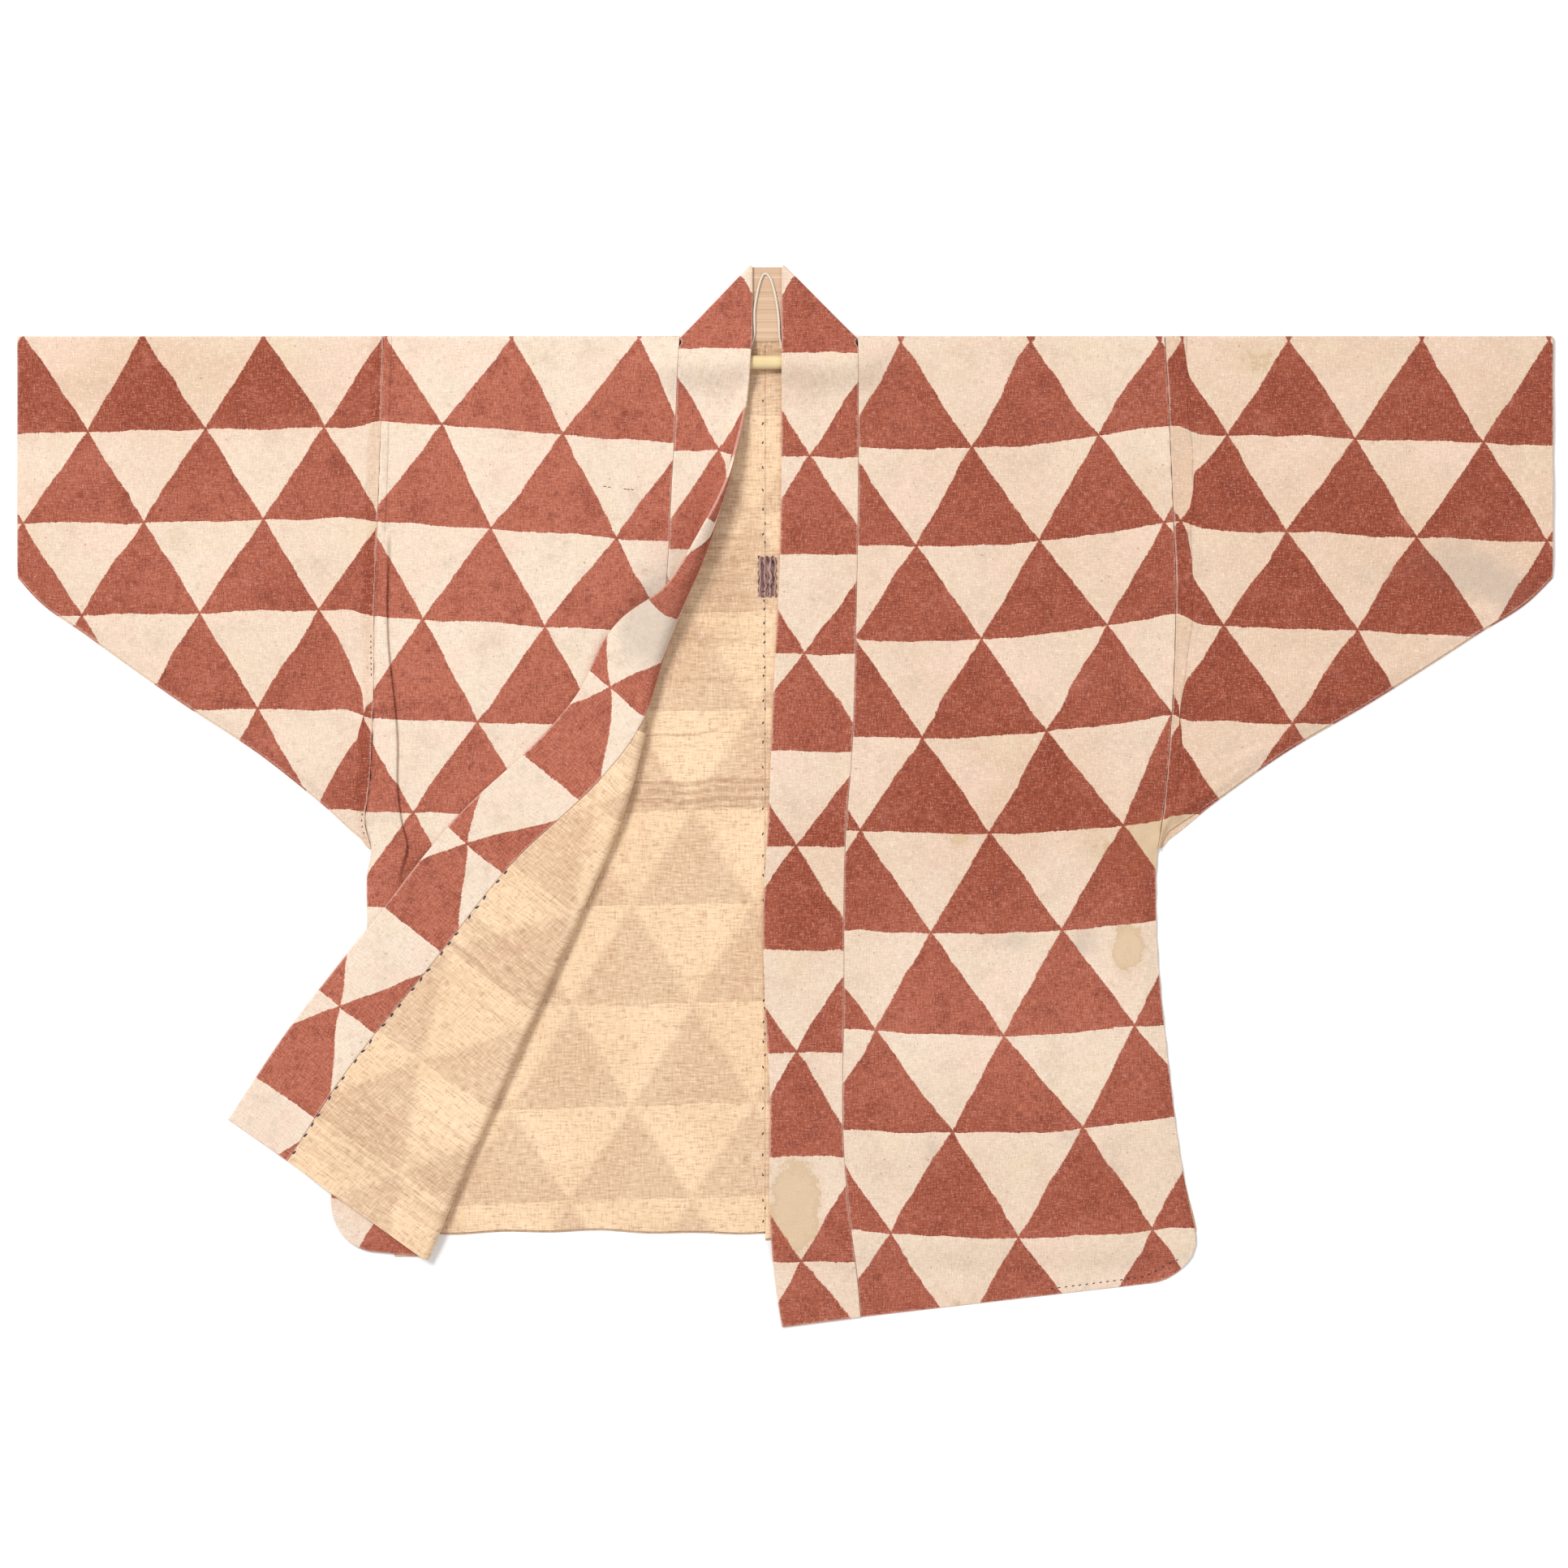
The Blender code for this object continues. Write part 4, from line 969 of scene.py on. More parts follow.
def body_grid(front, back_hem, side, corner):
    """Front, shoulder fold and back of one body length as a single grid.

    The back hem's corner at the side is rounded over the given length.
    """
    rows = stations(NECK_SEAM_Y - SEAM_GAP, back_hem, BACK_STEP)[:, None]
    seam_x = front[0, 0, 0]
    spread = (front[0, :, 0] - seam_x) / (front[0, -1, 0] - seam_x)
    gap = math.copysign(SEAM_GAP / 2.0, seam_x - CENTRE_BACK_X)
    neck_x = np.linspace(CENTRE_BACK_X + gap, seam_x, NECK_COLUMNS + 1)[:-1] + 0.0 * rows
    x = np.concatenate([neck_x, between(seam_x, read(side, rows), spread)], axis=1)
    near_corner = np.clip(1.0 - np.abs(read(side, rows) - x) / corner, 0.0, 1.0)
    raised = corner * (1.0 - np.sqrt(1.0 - near_corner ** 2)) + hem_wave(x)
    y = rows + raised * smooth(back_hem + HEM_REACH, back_hem, rows)
    upper = np.concatenate([front[::-1], over_the_shoulder(front[0])])
    upper = np.concatenate([np.repeat(upper[:, :1], NECK_COLUMNS, axis=1), upper], axis=1)
    grid = np.concatenate([upper, points(x, y, BACK_LEVEL)])
    keep = np.ones((len(grid) - 1, grid.shape[1] - 1), dtype=bool)
    keep[:len(upper), :NECK_COLUMNS] = False
    return grid, keep


def worn(inset, reach=1.6):
    """How worn the cloth is for its distance from an edge."""
    return np.exp(-inset / reach)


def coat_marks(x, y, wear, age_and_shade, seen=1.0):
    """Marks of the outer cloth at its points. Stains and soil are only on the seen side."""
    return {"wear": wear, "age_and_shade": age_and_shade + blots(AGE, x, y),
            "stain": seen * blots(STAINS, x, y), "soil": seen * blots(SOIL, x, y)}


def body_cloth(name, grid, keep, front_rows, x, y, front_print, age_and_shade, facing):
    """Body length as cloth, with the place of each point on the flat cloth."""
    on_back = behind(grid, front_rows)
    back_print = printed(BACK_PRINT, x, y, LEFT_PANEL)
    marking = [np.where(on_back, back, front) for back, front in zip(back_print, front_print)]
    marks = coat_marks(x, y, 0.9 * worn(edge_distance(grid)), age_and_shade, ~on_back)
    return cloth_piece(name, grid, OUTER_WALL, (PRINTED, PLAIN), (x, np.where(on_back, -y, y)),
                       marking, marks, facing, keep)


def right_front_grid():
    """Middle surface of the right front, rows from the shoulder to the hem."""
    share = shares(262.0, 3.4)
    hem = rounded_hem(share, RIGHT_HEM_AT_BAND_Y, RIGHT_HEM_AT_SIDE_Y, 0.14)
    rows = stations(FRONT_TOP_Y, RIGHT_HEM_AT_BAND_Y, SLEEVE_STEP)[:, None]
    y = rows + (hem - RIGHT_HEM_AT_BAND_Y) * smooth(-200.0, RIGHT_HEM_AT_BAND_Y, rows)
    seam_x = read(RIGHT_BAND_SEAM, y) + SEAM_GAP
    side_x = read(RIGHT_SIDE, y)
    x = between(seam_x, side_x, share)
    gathers = pucker(side_x - x, y, 0.5, 23.0, 10.0) + pucker(x - seam_x, y, 0.25, 17.0, 5.0)
    return points(x, y, right_front_level(x, y) + gathers * (1.0 - past_right_hem(y)))


def make_right_body():
    """Right body length: front, shoulder fold and back."""
    front = right_front_grid()
    grid, keep = body_grid(front, RIGHT_BACK_HEM_Y, RIGHT_SIDE, 8.0)
    x, y = grid[..., 0], grid[..., 1]
    share = np.clip((x - RIGHT_PANEL[0]) / (RIGHT_PANEL[1] - RIGHT_PANEL[0]), 0.0, 1.0)
    sag = PRINT_SAG * np.sin(math.pi * share) * smooth(FRONT_TOP_Y, 310.0, y)
    front_print = printed(FRONT_RIGHT_PRINT, x, y + sag, RIGHT_PANEL)
    return body_cloth("body_right_cloth", grid, keep, len(front), x, y, front_print, 0.35, 1.0)


def tuck_section(row_y):
    """Distance from the seam and height along the tuck's section, for each row.

    Folded, the cloth runs up and out to the edge, round half a circle, back under itself,
    round another and out again. At its ends the tuck is a plain step. under blends the two.
    """
    edge = read(LEFT_TUCK, row_y, 1)
    height = np.clip(read(LEFT_TUCK, row_y, 2), 0.0, 1.0)
    under = np.clip(read(LEFT_TUCK, row_y, 3), 0.0, 1.0)
    turn = np.radians(np.linspace(90.0, -90.0, 7))
    rise = np.linspace(0.0, 4.0, 6)
    out = np.linspace(0.0, 1.0, 10)[1:]
    back = np.linspace(0.0, 1.0, 7)[1:]
    inner = 0.5 * edge + 2.0
    folded_x = np.concatenate([
        rise + 0.0 * edge,
        4.0 + (edge - 5.0) * out,
        edge - 1.0 + TUCK_FOLD * np.cos(turn[1:]),
        edge - 1.0 + (inner - edge + 1.0) * back,
        inner - TUCK_FOLD * np.cos(turn[1:]),
        inner + (edge + 8.0 - inner) * back,
    ], axis=1)
    top = TUCK_HEIGHT * smooth(0.0, 4.0, rise)
    folded_z = np.concatenate([
        top,
        np.full(9, TUCK_HEIGHT),
        3.0 * TUCK_FOLD + TUCK_FOLD * np.sin(turn[1:]),
        np.full(6, 2.0 * TUCK_FOLD),
        TUCK_FOLD + TUCK_FOLD * np.sin(turn[1:]),
        np.zeros(6),
    ])
    fall = np.linspace(0.0, 1.0, 19)[1:]
    step_x = np.concatenate([
        rise + 0.0 * edge,
        4.0 + (edge - 5.5) * out,
        edge - 1.5 + 4.3 * fall,
        edge + 2.8 + 5.2 * back,
    ], axis=1)
    step_z = np.concatenate([
        top,
        np.full(9, TUCK_HEIGHT),
        TUCK_HEIGHT * (1.0 - smooth(0.0, 1.0, fall)),
        np.zeros(6),
    ])
    return between(step_x, folded_x, under), between(step_z, folded_z, under) * height


def left_arc_columns(row_y, turned_steps):
    """Arc distances of the columns at the bend and past it, squeezed where there is none."""
    seam = read(LEFT_TURN, row_y, 3) - SEAM_GAP
    half_turn = math.pi * read(LEFT_TURN, row_y, 2)
    first = np.minimum(0.0, seam - 8.0)
    middle = np.minimum(half_turn, 0.5 * (first + seam))
    bend = between(first, middle, np.linspace(0.0, 1.0, BEND_STEPS + 1))
    way = shares(60.0, 60.0 / (turned_steps - 2))[3:]
    past = between(middle, seam, (way[1:] - way[0]) / (1.0 - way[0]))
    return np.concatenate([bend, past], axis=1)


def left_rows(start):
    """Heights of the left front's rows."""
    return stations(start, LEFT_FRONT_HEM_Y, ROW_STEP)[:, None]


def turned_waves(row_y, arc):
    """Slack of the turned front: slow waves square to its crease."""
    across = smooth(10.0, 50.0, arc)
    return across * (0.7 + 0.5 * np.sin(row_y / 17.0 + arc / 60.0)
                     + 0.3 * np.sin(row_y / 7.3 - arc / 23.0))


def make_left_body():
    """Left body length, its front edge turned back along a soft crease."""
    row_y = left_rows(FRONT_TOP_Y)
    side_x = read(LEFT_SIDE, row_y)
    crease_x = read(LEFT_TURN, row_y, 1)
    tuck_x, tuck_z = tuck_section(row_y)
    arcs = left_arc_columns(row_y, 18)
    bend_x = crease_x + arcs[:, :1]
    open_x = between(side_x + tuck_x[:, -1:], bend_x, np.linspace(0.0, 1.0, 56)[1:-1])
    x = np.concatenate([side_x + tuck_x, open_x], axis=1)
    inset = x - side_x
    share = np.clip((bend_x - x) / (bend_x - side_x), 0.0, 1.0)
    hem = rounded_hem(share, LEFT_FRONT_HEM_Y, LEFT_FRONT_HEM_Y + 8.0, 0.45)
    y = row_y + (hem - LEFT_FRONT_HEM_Y) * smooth(-250.0, LEFT_FRONT_HEM_Y, row_y)
    above_turn = smooth(-120.0, -60.0, y)
    waves = (cockle(x, y) + 0.3) * smooth(20.0, 60.0, bend_x - x) * above_turn
    z = left_front_level(x, y) + waves
    z[:, :tuck_z.shape[1]] += tuck_z
    ridge = smooth(0.2, 1.4, inset) * smooth(7.2, 5.9, inset) * smooth(208.0, 226.0, y)
    z = z + 1.1 * ridge + pucker(inset, y, 0.35, 19.0, 8.0) * above_turn
    front = np.concatenate([points(x, y, z), turned(row_y, arcs, 0.0)], axis=1)[:, ::-1]
    grid, keep = body_grid(front, LEFT_BACK_HEM_Y, LEFT_SIDE, 24.0)
    flat_x, flat_y = grid[..., 0].copy(), grid[..., 1].copy()
    front_x = np.concatenate([x, crease_x + arcs], axis=1)
    front_y = np.concatenate([y, row_y + 0.0 * arcs], axis=1)
    flat_x[:len(front), NECK_COLUMNS:] = front_x[::-1, ::-1]
    flat_y[:len(front), NECK_COLUMNS:] = front_y[::-1, ::-1]
    front_print = printed(FRONT_LEFT_PRINT, flat_x, flat_y, LEFT_PANEL)
    return body_cloth("body_left_cloth", grid, keep, len(front), flat_x, flat_y, front_print,
                      0.03, -1.0)


def make_left_front_lining():
    """Lining of the turned front: under its edge, round the bend and over the turned part."""
    row_y = left_rows(55.0)
    arcs = left_arc_columns(row_y, 40)
    arcs = np.concatenate([arcs[:, :1] + np.array([-24.0, -16.0, -8.0]), arcs], axis=1)
    grid = turned(row_y, arcs, LINING_UNDER_OUTER)
    grid[..., 2] += turned_waves(row_y, arcs) * smooth(4.0, 16.0, edge_distance(grid))
    flat = (read(LEFT_TURN, row_y, 1) + arcs, row_y + 0.0 * arcs)
    marks = {"age_and_shade": 0.12 * (1.0 + np.sin(flat[1] / 31.0))}
    return cloth_piece("front_lining_left", grid, LINING_WALL, (GAUZE,), flat,
                       printed(FRONT_LEFT_PRINT, *flat, LEFT_PANEL), marks)


def make_back_lining(name, away, side, hem_y):
    """Half of the back lining, flat on the back from the centre seam to near the side."""
    rows = stations(NECK_SEAM_Y - SEAM_GAP, hem_y + 1.6, 2.2)[:, None]
    centre_x = CENTRE_BACK_X + away * SEAM_GAP / 2.0
    x = between(centre_x, read(side, rows) - away * 18.0, shares(310.0, 5.0))
    y = rows + hem_wave(x) * smooth(hem_y + HEM_REACH, hem_y, rows)
    inset = np.abs(x - CENTRE_BACK_X)
    open_part = smooth(0.0, 12.0, inset) * smooth(0.0, 10.0, y - hem_y)
    z = BACK_LINING_LEVEL + 0.35 * open_part * (0.6 + cockle(x * 1.3, y * 0.8 + 40.0) / 0.6)
    z = z + np.abs(pucker(inset, y, 0.3, 21.0, 9.0))
    sway = 1.6 * np.sin(x / 19.0 + y / 40.0) + 0.9 * np.sin(x / 7.3)
    # Its darker marks include painted shade beside the turned front's roll and along its top
    # under the collar
    return cloth_piece(name, points(x, y, z), LINING_WALL, (GAUZE,), (x, y),
                       printed(BACK_PRINT, x, y, LEFT_PANEL),
                       {"age_and_shade": blots(LINING_TONE_AND_SHADE, x, y + sway)}, -away)


def sleeve_rows(rows, lower, extra):
    """Heights of a sleeve's points: the armhole's rows drawn in towards its lower edge."""
    down = (FRONT_TOP_Y - rows) / (FRONT_TOP_Y - UNDERARM_Y)
    return FRONT_TOP_Y + down * (lower - extra * down - FRONT_TOP_Y)


def make_sleeve(name, away, side, table, panel, lap, lap_top, body_table, body_panel):
    """Sleeve folded flat at the shoulder, sewn along its slanted lower edge.

    The body's cloth laps over it in a flat strip along the armhole, from lap_top down, a
    little proud of it and lumpy near the underarm. Its print runs on from the body's. The
    columns are drawn in with the strip where it is narrower than at the top.
    """
    def below_top(height):
        return smooth(lap_top + 12.0, lap_top - 12.0, height)

    widest = lap[0][1]
    width = CUFF_X - UNDERARM_X
    inset = np.concatenate([stations(0.0, widest + 0.5, 1.6, (0.25, 0.7)),
                            stations(widest + 0.5, width, SLEEVE_STEP, (0.5, 1.2, 2.4))[1:]])
    across = inset / width
    lower = read(SLEEVE_LOWER_EDGE, UNDERARM_X + inset)
    lower = between(lower, UNDERARM_Y, smooth(0.03, 0.0, across))
    y = sleeve_rows(stations(FRONT_TOP_Y, UNDERARM_Y, SLEEVE_STEP)[:, None], lower, 0.0)
    station = between(FRONT_TOP_Y, UNDERARM_Y, (FRONT_TOP_Y - y) / (FRONT_TOP_Y - lower))
    armhole = np.abs(read(side, station)) + SEAM_GAP
    narrower = (widest - read(lap, station)) * np.clip(inset / widest, 0.0, 1.0)
    narrower = narrower * smooth(widest + 36.0, widest + 1.0, inset)
    from_seam = across * (CUFF_X - armhole)
    wiggle = 1.1 * np.sin(y / 19.0) + 0.6 * np.sin(y / 7.7 + 1.0)
    wiggle = wiggle * np.exp(-((inset - widest) / 6.0) ** 2)
    x = away * (between(armhole, CUFF_X, across) - narrower + wiggle)
    sewn = between(smooth(0.0, SEWN_REACH, y - lower), smooth(*UNDERARM_END, y),
                   smooth(0.012, 0.0, across))
    strip = 0.9 * smooth(widest + 1.3, widest, inset) * below_top(y)
    strip = strip + 0.5 * smooth(2.4, 1.2, inset)
    lumps = 0.18 + 0.35 * np.exp(-((y - 25.0) / 50.0) ** 2)
    strip = strip * (1.0 + lumps * np.sin(y / 3.1 + 2.0 * np.sin(y / 13.0)))
    level = between(SEWN_EDGE_LEVEL, between(FRONT_LEVEL, CUFF_LEVEL, across), sewn)
    wave = cockle(x, y) * smooth(0.0, 10.0, from_seam) + pucker(from_seam, y, 0.45, 17.0, 7.0)
    front = points(x, y, level + (strip + fold_relief(x, y) + wave) * sewn)
    back_rows = stations(NECK_SEAM_Y - SEAM_GAP, UNDERARM_Y, BACK_STEP)[:, None]
    back_x = away * between(np.abs(read(side, back_rows)) + SEAM_GAP, CUFF_X, across)
    back_y = sleeve_rows(back_rows, lower, 1.8 * smooth(0.0, 0.02, across))
    back = points(back_x, back_y, BACK_LEVEL)
    grid = np.concatenate([front[::-1], over_the_shoulder(front[0]), back])
    x, y = grid[..., 0], grid[..., 1]
    on_back = behind(grid, len(front))
    on_lap = smooth(widest + 2.5, widest - 2.0, inset) * below_top(y)
    column, line = printed(table, x - away * 1.3 * widest * on_lap, y, panel)
    body_line = printed(body_table, x, y, body_panel)[1]
    marking = (column, between(body_line, line, smooth(0.0, 26.0, inset)))
    inner = np.ones((len(grid) - 1, grid.shape[1] - 1), dtype=bool)
    inner[-6:] = False
    lap_edge = 0.3 * np.exp(-((inset - widest) / 0.8) ** 2)
    lap_edge = lap_edge + 0.8 * np.exp(-((inset - 1.4) / 0.8) ** 2)
    wear = worn(edge_distance(grid))
    wear[:len(front)] = np.maximum(wear[:len(front)], (lap_edge * below_top(station))[::-1])
    age_and_shade = 0.45 + 0.17 * away + 0.35 * smooth(widest + 2.0, widest - 1.0, inset)
    return cloth_piece(name, grid, OUTER_WALL, (PRINTED, PLAIN), (x, np.where(on_back, -y, y)),
                       marking, coat_marks(x, y, wear, age_and_shade, ~on_back), away, None, inner)


def collar_corner(seam_x, edge_x, columns, away):
    """Rows through a collar corner, from the front band towards the middle of the back neck.

    The strip folds along a slanting line: first a fan of rows over the front layer, then the
    bend, then a fan over the back layer.
    """
    radius = (BAND_LEVEL - NECK_BAND_LEVEL) / 2.0
    lean = math.sqrt(0.5)
    start_x = between(seam_x, edge_x, columns) - away * lean * radius
    start_y = between(NECK_SEAM_Y, COLLAR_TOP_Y - lean * radius, columns)
    rows = []
    for share in np.linspace(0.1, 1.0, 16):
        y = between(378.0, start_y, share)
        rows.append(points(start_x, y, BAND_LEVEL + rod_lift(start_x, y)))
    top = rows[-1][:, 2]
    for turn in np.linspace(0.0, math.pi, 13)[1:-1]:
        out = radius * math.sin(turn) * lean
        z = (top + NECK_BAND_LEVEL + (top - NECK_BAND_LEVEL) * math.cos(turn)) / 2.0
        rows.append(points(start_x + away * out, start_y + out, z))
    for share in np.linspace(0.0, 1.0, 19)[:-1]:
        rows.append(points(between(start_x, NECK_CENTRE_X, share), start_y, NECK_BAND_LEVEL))
    return np.array(rows)


def make_collar():
    """Collar: one doubled strip up the right front, round the back neck, down the left front.

    Where the left front begins to turn, the strip's free edge is drawn in by a bell.
    """
    columns = shares(BAND_WIDTH, 2.6)
    count = len(columns)
    right_y = stations(COLLAR_START_Y, RIGHT_HEM_AT_BAND_Y, ROW_STEP)[::-1][:, None]
    x = between(read(RIGHT_BAND_SEAM, right_y), read(RIGHT_BAND_EDGE, right_y), columns)
    slant = (BAND_BOTTOM_Y - RIGHT_HEM_AT_BAND_Y) * columns
    y = right_y + slant * smooth(-388.0, RIGHT_HEM_AT_BAND_Y, right_y)
    past_hem = past_right_hem(y)
    wave = 0.5 * (cockle(x * 1.4, y * 0.6) + pucker(columns * BAND_WIDTH, y, 0.5, 26.0, 6.0))
    wave = wave * (1.0 - past_hem) * smooth(0.0, 4.0, columns * BAND_WIDTH)
    level = between(BAND_LEVEL, NECK_BAND_LEVEL, past_hem)
    right = points(x, y, level + rod_lift(x, y) + wave)
    right_corner = collar_corner(NECK_RIGHT_X, -2.0, columns, 1.0)
    left_corner = collar_corner(NECK_LEFT_X, -28.2, columns, -1.0)
    middle = right_corner[-1:].copy()
    middle[..., 0] = NECK_CENTRE_X
    row_y = left_rows(COLLAR_START_Y)
    seam = read(LEFT_TURN, row_y, 3)
    half_turn = math.pi * read(LEFT_TURN, row_y, 2)
    curl = BAND_CURL * np.exp(-((row_y - BAND_CURL_Y) / BAND_CURL_LENGTH) ** 2)
    end = seam + BAND_WIDTH - curl
    bend_start = np.clip(0.0, seam + 4.0, end - 12.0)
    bend_end = np.clip(half_turn, bend_start + 4.0, end - 6.0)
    edge_steps = shares(20.0, 20.0 / (count / 3.0 - 4.0))
    first = edge_steps[:-3] / edge_steps[-4]
    last = (edge_steps[3:] - edge_steps[3]) / (1.0 - edge_steps[3])
    bend_count = count - len(first) - len(last) + 1
    arcs = np.concatenate([
        between(seam + SEAM_GAP / 2.0, bend_start, first),
        between(bend_start, bend_end, np.linspace(0.0, 1.0, bend_count + 1)[1:-1]),
        between(bend_end, end, last),
    ], axis=1)
    left = turned(row_y, arcs, BAND_UNDER_OUTER)
    grid = np.concatenate([right, right_corner, middle, left_corner[::-1], left])
    right_count = len(right) + len(right_corner)
    left_start = len(grid) - len(left)
    from_seam = np.concatenate([
        np.broadcast_to(columns * BAND_WIDTH, (left_start, count)),
        (arcs - seam) * BAND_WIDTH / (end - seam),
    ])
    along = grid[..., 1].copy()
    turned_share = np.maximum(smooth(0.36, 0.62, arcs / half_turn), smooth(60.0, 20.0, row_y))
    line = np.concatenate([
        read(RIGHT_BAND_PRINT, along[:right_count]),
        read(LEFT_BAND_PRINT, along[right_count:left_start]),
        between(read(LEFT_BAND_PRINT, row_y), read(TURNED_BAND_PRINT, row_y), turned_share),
    ])
    column = (from_seam - BAND_CORNER) / BAND_PITCH + 0.5
    along[left_start:] = row_y
    marks = coat_marks(grid[..., 0], grid[..., 1], worn(edge_distance(grid), 1.8),
                       np.where(grid[..., 0] > -30.0, 0.3, 0.0))
    inner = np.zeros((len(grid) - 1, count - 1), dtype=bool)
    inner[len(right) + 8:left_start - 8] = True
    return cloth_piece("collar_cloth", grid, BAND_WALL, (PRINTED, PLAIN), (from_seam, along),
                       (column, line), marks, -1.0, None, inner)


def make_patch():
    """Small mending patch on the centre-back seam of the lining."""
    x = stations(-22.5, -7.2, 1.5)[None, :]
    y = stations(201.0, 167.0, 1.5)[:, None]
    ragged_x = x + 0.6 * np.sin(y * 0.9) * np.abs(x + 14.85) / 7.65
    ragged_y = y + 0.7 * np.sin(x * 1.1) * np.abs(y - 184.0) / 17.0
    level = BACK_LINING_LEVEL + LINING_WALL + SEAM_GAP + 0.25 * np.sin(x * 0.8)
    grid = points(ragged_x, ragged_y, level)
    none = np.zeros(ragged_x.shape)
    return cloth_piece("patch_cloth", grid, LINING_WALL, (patch_cotton(),),
                       (grid[..., 0], grid[..., 1]), (none, none), {}, -1.0)


def tube(name, path, radius, around, finish, twist=0.0, strands=0):
    """Closed tube along a path: a ring square to the path at each point, and a flat face over
    each end.

    With strands, the radius swells and shrinks round the ring, turned further at each point.
    """
    path = np.array(path)
    step = np.linalg.norm(np.diff(path, axis=0), axis=1)
    along = np.concatenate([[0.0], np.cumsum(step)])
    tangent = np.gradient(path, axis=0)
    tangent = tangent / np.linalg.norm(tangent, axis=1, keepdims=True)
    first = np.cross(tangent, (0.0, 0.0, 1.0))
    first = first / np.linalg.norm(first, axis=1, keepdims=True)
    second = np.cross(first, tangent)
    angle = np.linspace(0.0, math.tau, around + 1)[None, :-1]
    swell = 1.0
    if strands:
        swell = 0.86 + 0.14 * np.abs(np.cos(strands * (angle + along[:, None] * twist) / 2.0))
    reach = np.broadcast_to(np.asarray(radius, dtype=float), along.shape)[:, None] * swell
    ring = (path[:, None] + (reach * np.cos(angle))[..., None] * first[:, None]
            + (reach * np.sin(angle))[..., None] * second[:, None])
    count = len(path)
    index = np.arange(count * around).reshape(count, around)
    turned_index = np.roll(index, -1, axis=1)
    quads = np.stack([index[:-1], turned_index[:-1], turned_index[1:], index[1:]], axis=-1)
    faces = quads.reshape(-1, 4).tolist() + [index[0, ::-1].tolist(), index[-1].tolist()]
    turn = np.broadcast_to(angle / math.tau, (count, around))
    length = np.broadcast_to(along[:, None] * MILLIMETRE, (count, around))
    maps = {"cloth": np.stack([turn, length], axis=-1).reshape(-1, 2)}
    return mesh_of(name, ring.reshape(-1, 3), faces, (finish,), maps=maps)


def smooth_route(points, per_span):
    """Catmull-Rom curve through points."""
    points = np.array(points, dtype=float)
    padded = np.vstack([2 * points[0] - points[1], points, 2 * points[-1] - points[-2]])
    share = (np.arange(per_span) / per_span)[None, :, None]
    before, here, there, after = (padded[k:len(padded) - 3 + k][:, None] for k in range(4))
    route = here + 0.5 * share * (there - before + share * (
        2 * before - 5 * here + 4 * there - after + share * (
            3 * (here - there) + after - before)))
    return np.vstack([route.reshape(-1, 3), points[-1]])


def make_cord():
    """Slack loop of thin string from the rod up over the neck band and back."""
    path = smooth_route(CORD_ROUTE, 10)
    cord = tube("hanging_string", path, CORD_RADIUS, 12, string(), 0.9, 3)
    return cord


def make_rod():
    """Short round cane across the neck, a little uneven, with rounded ends."""
    x = stations(ROD_LEFT_X, ROD_RIGHT_X, 2.5)
    path = points(x, ROD_Y, ROD_LEVEL)
    near = np.clip(np.minimum(x - ROD_LEFT_X, ROD_RIGHT_X - x) / 1.4, 0.0, 1.0)
    radius = (ROD_RADIUS - 0.15 + 0.12 * np.sin(x / 9.0)) * (0.8 + 0.2 * np.sqrt(near))
    return tube("cane_rod", path, radius, 40, cane())


def stitches(name, piece, x, y, headings, length, radius, finish):
    """Stitches as one mesh, each a short thread, thick in the middle, along its heading.

    They lie where a line straight down from above meets the piece.
    """
    bpy.context.view_layer.update()
    x, y = np.broadcast_arrays(x, y)
    tops = [piece.ray_cast((px * MILLIMETRE, py * MILLIMETRE, 0.2), (0.0, 0.0, -1.0))
            for px, py in zip(x, y)]
    met = np.array([top[0] for top in tops])
    places = np.array([tuple(top[1]) for top in tops])[met] / MILLIMETRE
    places = places + np.array([0.0, 0.0, 0.5 * radius])
    headings = np.radians(np.broadcast_to(headings, x.shape)[met])
    along = np.linspace(-1.0, 1.0, 7)
    around = np.linspace(0.0, math.tau, 7)[:-1]
    thick = radius * np.sqrt(np.maximum(1.0 - along ** 2, 0.02))
    ahead = points(np.cos(headings), np.sin(headings), 0.0)
    beside = points(-np.sin(headings), np.cos(headings), 0.0)
    point = (places[:, None, None]
             + ahead[:, None, None] * (along * length / 2.0)[:, None, None]
             + beside[:, None, None] * (thick[:, None] * np.cos(around))[..., None]
             + np.array([0.0, 0.0, 1.0]) * (thick[:, None] * np.sin(around))[..., None])
    ring = np.arange(42).reshape(7, 6)
    after = np.roll(ring, -1, axis=1)
    quads = np.stack([ring[:-1], after[:-1], after[1:], ring[1:]], axis=-1).reshape(-1, 4)
    faces = []
    for number in range(len(places)):
        faces += (quads + 42 * number).tolist()
        faces += [(ring[0, ::-1] + 42 * number).tolist(), (ring[-1] + 42 * number).tolist()]
    return mesh_of(name, point.reshape(-1, 3), faces, (finish,))


# Camera straight above, with the picture's frame 1313.8 mm wide at the height of the cloth
VIEW_WIDTH = 1313.8
LENS = 80.0
SENSOR = 36.0
VIEW_CENTRE = (-1.0, 10.2)
camera_data = bpy.data.cameras.new("camera")
camera_data.lens = LENS
camera_data.sensor_width = SENSOR
camera_data.clip_end = 20.0
camera = bpy.data.objects.new("camera", camera_data)
camera_height = VIEW_WIDTH * LENS / SENSOR + FRONT_LEVEL
camera.location = (VIEW_CENTRE[0] * MILLIMETRE, VIEW_CENTRE[1] * MILLIMETRE,
                   camera_height * MILLIMETRE)
bpy.context.scene.collection.objects.link(camera)
bpy.context.scene.camera = camera

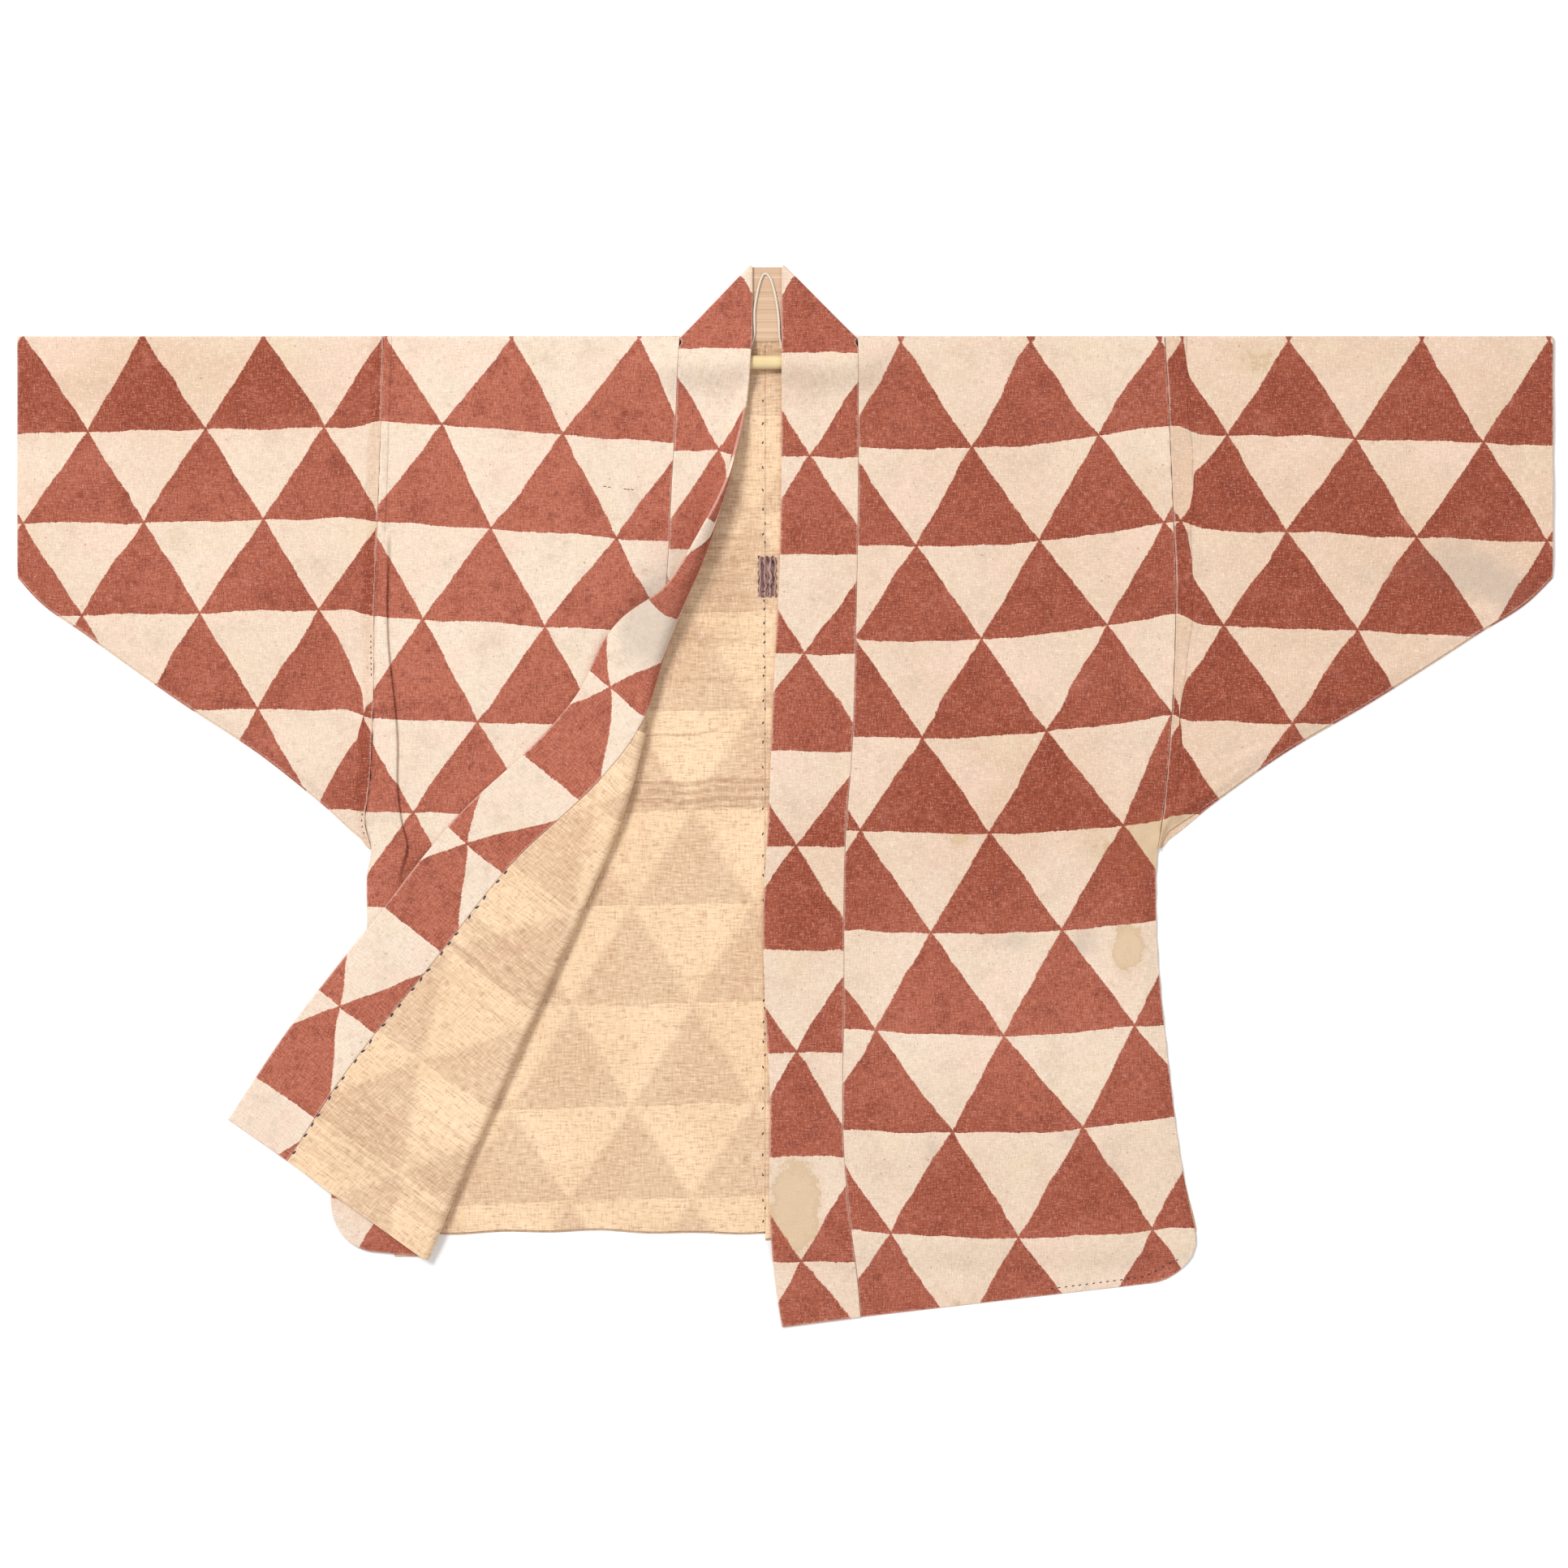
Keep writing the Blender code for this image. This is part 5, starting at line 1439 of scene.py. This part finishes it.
cord = make_cord()
rod = make_rod()
body_left = make_left_body()
body_right = make_right_body()
sleeve_left = make_sleeve("sleeve_left_cloth", -1.0, LEFT_SIDE, SLEEVE_LEFT_PRINT,
                          LEFT_SLEEVE_PANEL, LEFT_LAP, 88.0, FRONT_LEFT_PRINT, LEFT_PANEL)
sleeve_right = make_sleeve("sleeve_right_cloth", 1.0, RIGHT_SIDE, SLEEVE_RIGHT_PRINT,
                           RIGHT_SLEEVE_PANEL, RIGHT_LAP, 420.0, FRONT_RIGHT_PRINT, RIGHT_PANEL)
collar = make_collar()
back_left = make_back_lining("back_lining_left", -1.0, LEFT_SIDE, LEFT_BACK_HEM_Y)
back_right = make_back_lining("back_lining_right", 1.0, RIGHT_SIDE, RIGHT_BACK_HEM_Y)
front_lining = make_left_front_lining()
patch = make_patch()

NAVY = thread("navy_thread", (0.012, 0.013, 0.03), (0.05, 0.05, 0.10))
MADDER = thread("red_thread", (0.15, 0.03, 0.02), (0.36, 0.10, 0.07))
seam_y = np.arange(332.0, -362.0, -9.3)
seam_y = seam_y[np.abs(seam_y - 184.0) > 19.0]
seam_x = CENTRE_BACK_X - 1.0 + 1.1 * np.sin(seam_y * 1.7)
band_row = np.arange(24)
band_y = -108.0 - 11.6 * band_row + 2.6 * np.sin(band_row * 2.1)
band_seam = turned(band_y, read(LEFT_TURN, band_y, 3) - 1.0, LINING_UNDER_OUTER)
arm_y = np.concatenate([np.arange(134.0, 100.0, -4.6), np.arange(-10.0, -36.0, -5.2)])
arm_x = read(LEFT_SIDE, arm_y) - 2.2 + 0.5 * np.sin(arm_y * 1.3)
hem_x = np.arange(224.0, 330.0, 5.8)
hem_y = -413.0 + (hem_x - 224.0) * 0.126 + 12.0 * smooth(296.0, 335.0, hem_x)
sewing = [stitches(*row) for row in (
    # name, piece, x, y, headings, length, radius, thread
    ("centre_back_stitches", back_left, seam_x, seam_y + 1.6 * np.sin(seam_y * 0.9),
     82.0 + 26.0 * np.sin(seam_y * 2.3), 2.7, 0.5, NAVY),
    ("turned_band_stitches", front_lining, band_seam[:, 0], band_seam[:, 1],
     49.0 + 14.0 * np.sin(band_row * 3.7), 4.2, 0.65, NAVY),
    ("left_armhole_stitches", sleeve_left, arm_x, arm_y,
     84.0 + 12.0 * np.sin(arm_y * 2.0), 1.8, 0.4, NAVY),
    ("right_hem_stitches", body_right, hem_x, hem_y,
     16.0 + 9.0 * np.sin(hem_x), 2.4, 0.4, NAVY),
    ("patch_stitches", patch, (-19.5, -10.5, -16.0, -12.0, -18.5),
     (195.0, 196.5, 185.0, 176.0, 171.5), (85.0, 70.0, 95.0, 80.0, 20.0), 3.4, 0.45, NAVY),
    ("left_front_stitches", body_left, (-151.0, -147.4, -134.0, -131.4, -128.2),
     (259.4, 258.8, 257.2, 257.0, 256.8), -9.0, 2.8, 0.35, MADDER))]

for piece, node, slot_name in (
        (cord, "hanging_cord", "cord"),
        (rod, "hanging_rod", "rod"),
        (body_left, "body_left", "outer"),
        (body_right, "body_right", "outer"),
        (sleeve_left, "sleeve_left", "outer"),
        (sleeve_right, "sleeve_right", "outer"),
        (collar, "collar", "outer"),
        (back_left, "lining_back_left", "lining"),
        (back_right, "lining_back_right", "lining"),
        (front_lining, "lining_front_left", "lining"),
        (patch, "mending_patch", "patch"),
        *((piece, None, "patch") for piece in sewing)):
    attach(piece, "root")
    if node:
        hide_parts(node)

# Ground and light
ground_mesh = bpy.data.meshes.new("ground")
ground_mesh.from_pydata([(-6.0, -6.0, 0.0), (6.0, -6.0, 0.0), (6.0, 6.0, 0.0), (-6.0, 6.0, 0.0)],
                        [], [(0, 1, 2, 3)])
ground_mesh.materials.append(paper_ground())
ground = bpy.data.objects.new("ground", ground_mesh)
bpy.context.scene.collection.objects.link(ground)


def soft_light(name, place, target, size, power):
    """Square soft light at a place, facing a target."""
    data = bpy.data.lights.new(name, "AREA")
    data.shape = "SQUARE"
    data.size = size
    data.energy = power
    lamp = bpy.data.objects.new(name, data)
    lamp.location = place
    away = np.array(place) - np.array(target)
    flat_reach = math.hypot(away[0], away[1])
    lamp.rotation_euler = (math.atan2(flat_reach, away[2]), 0.0,
                           math.atan2(away[0], -away[1]))
    bpy.context.scene.collection.objects.link(lamp)


soft_light("key_light", (-2.5, 2.3, 4.5), (0.0, 0.0, 0.0), 1.6, 224.0)
soft_light("fill_light", (1.6, -0.6, 2.2), (0.0, 0.0, 0.0), 1.6, 14.0)
world = bpy.data.worlds.new("studio")
world.use_nodes = True
world.node_tree.nodes["Background"].inputs[0].default_value = (1.0, 1.0, 1.0, 1.0)
world.node_tree.nodes["Background"].inputs[1].default_value = 0.55
bpy.context.scene.world = world
bpy.context.scene.view_settings.view_transform = "Standard"
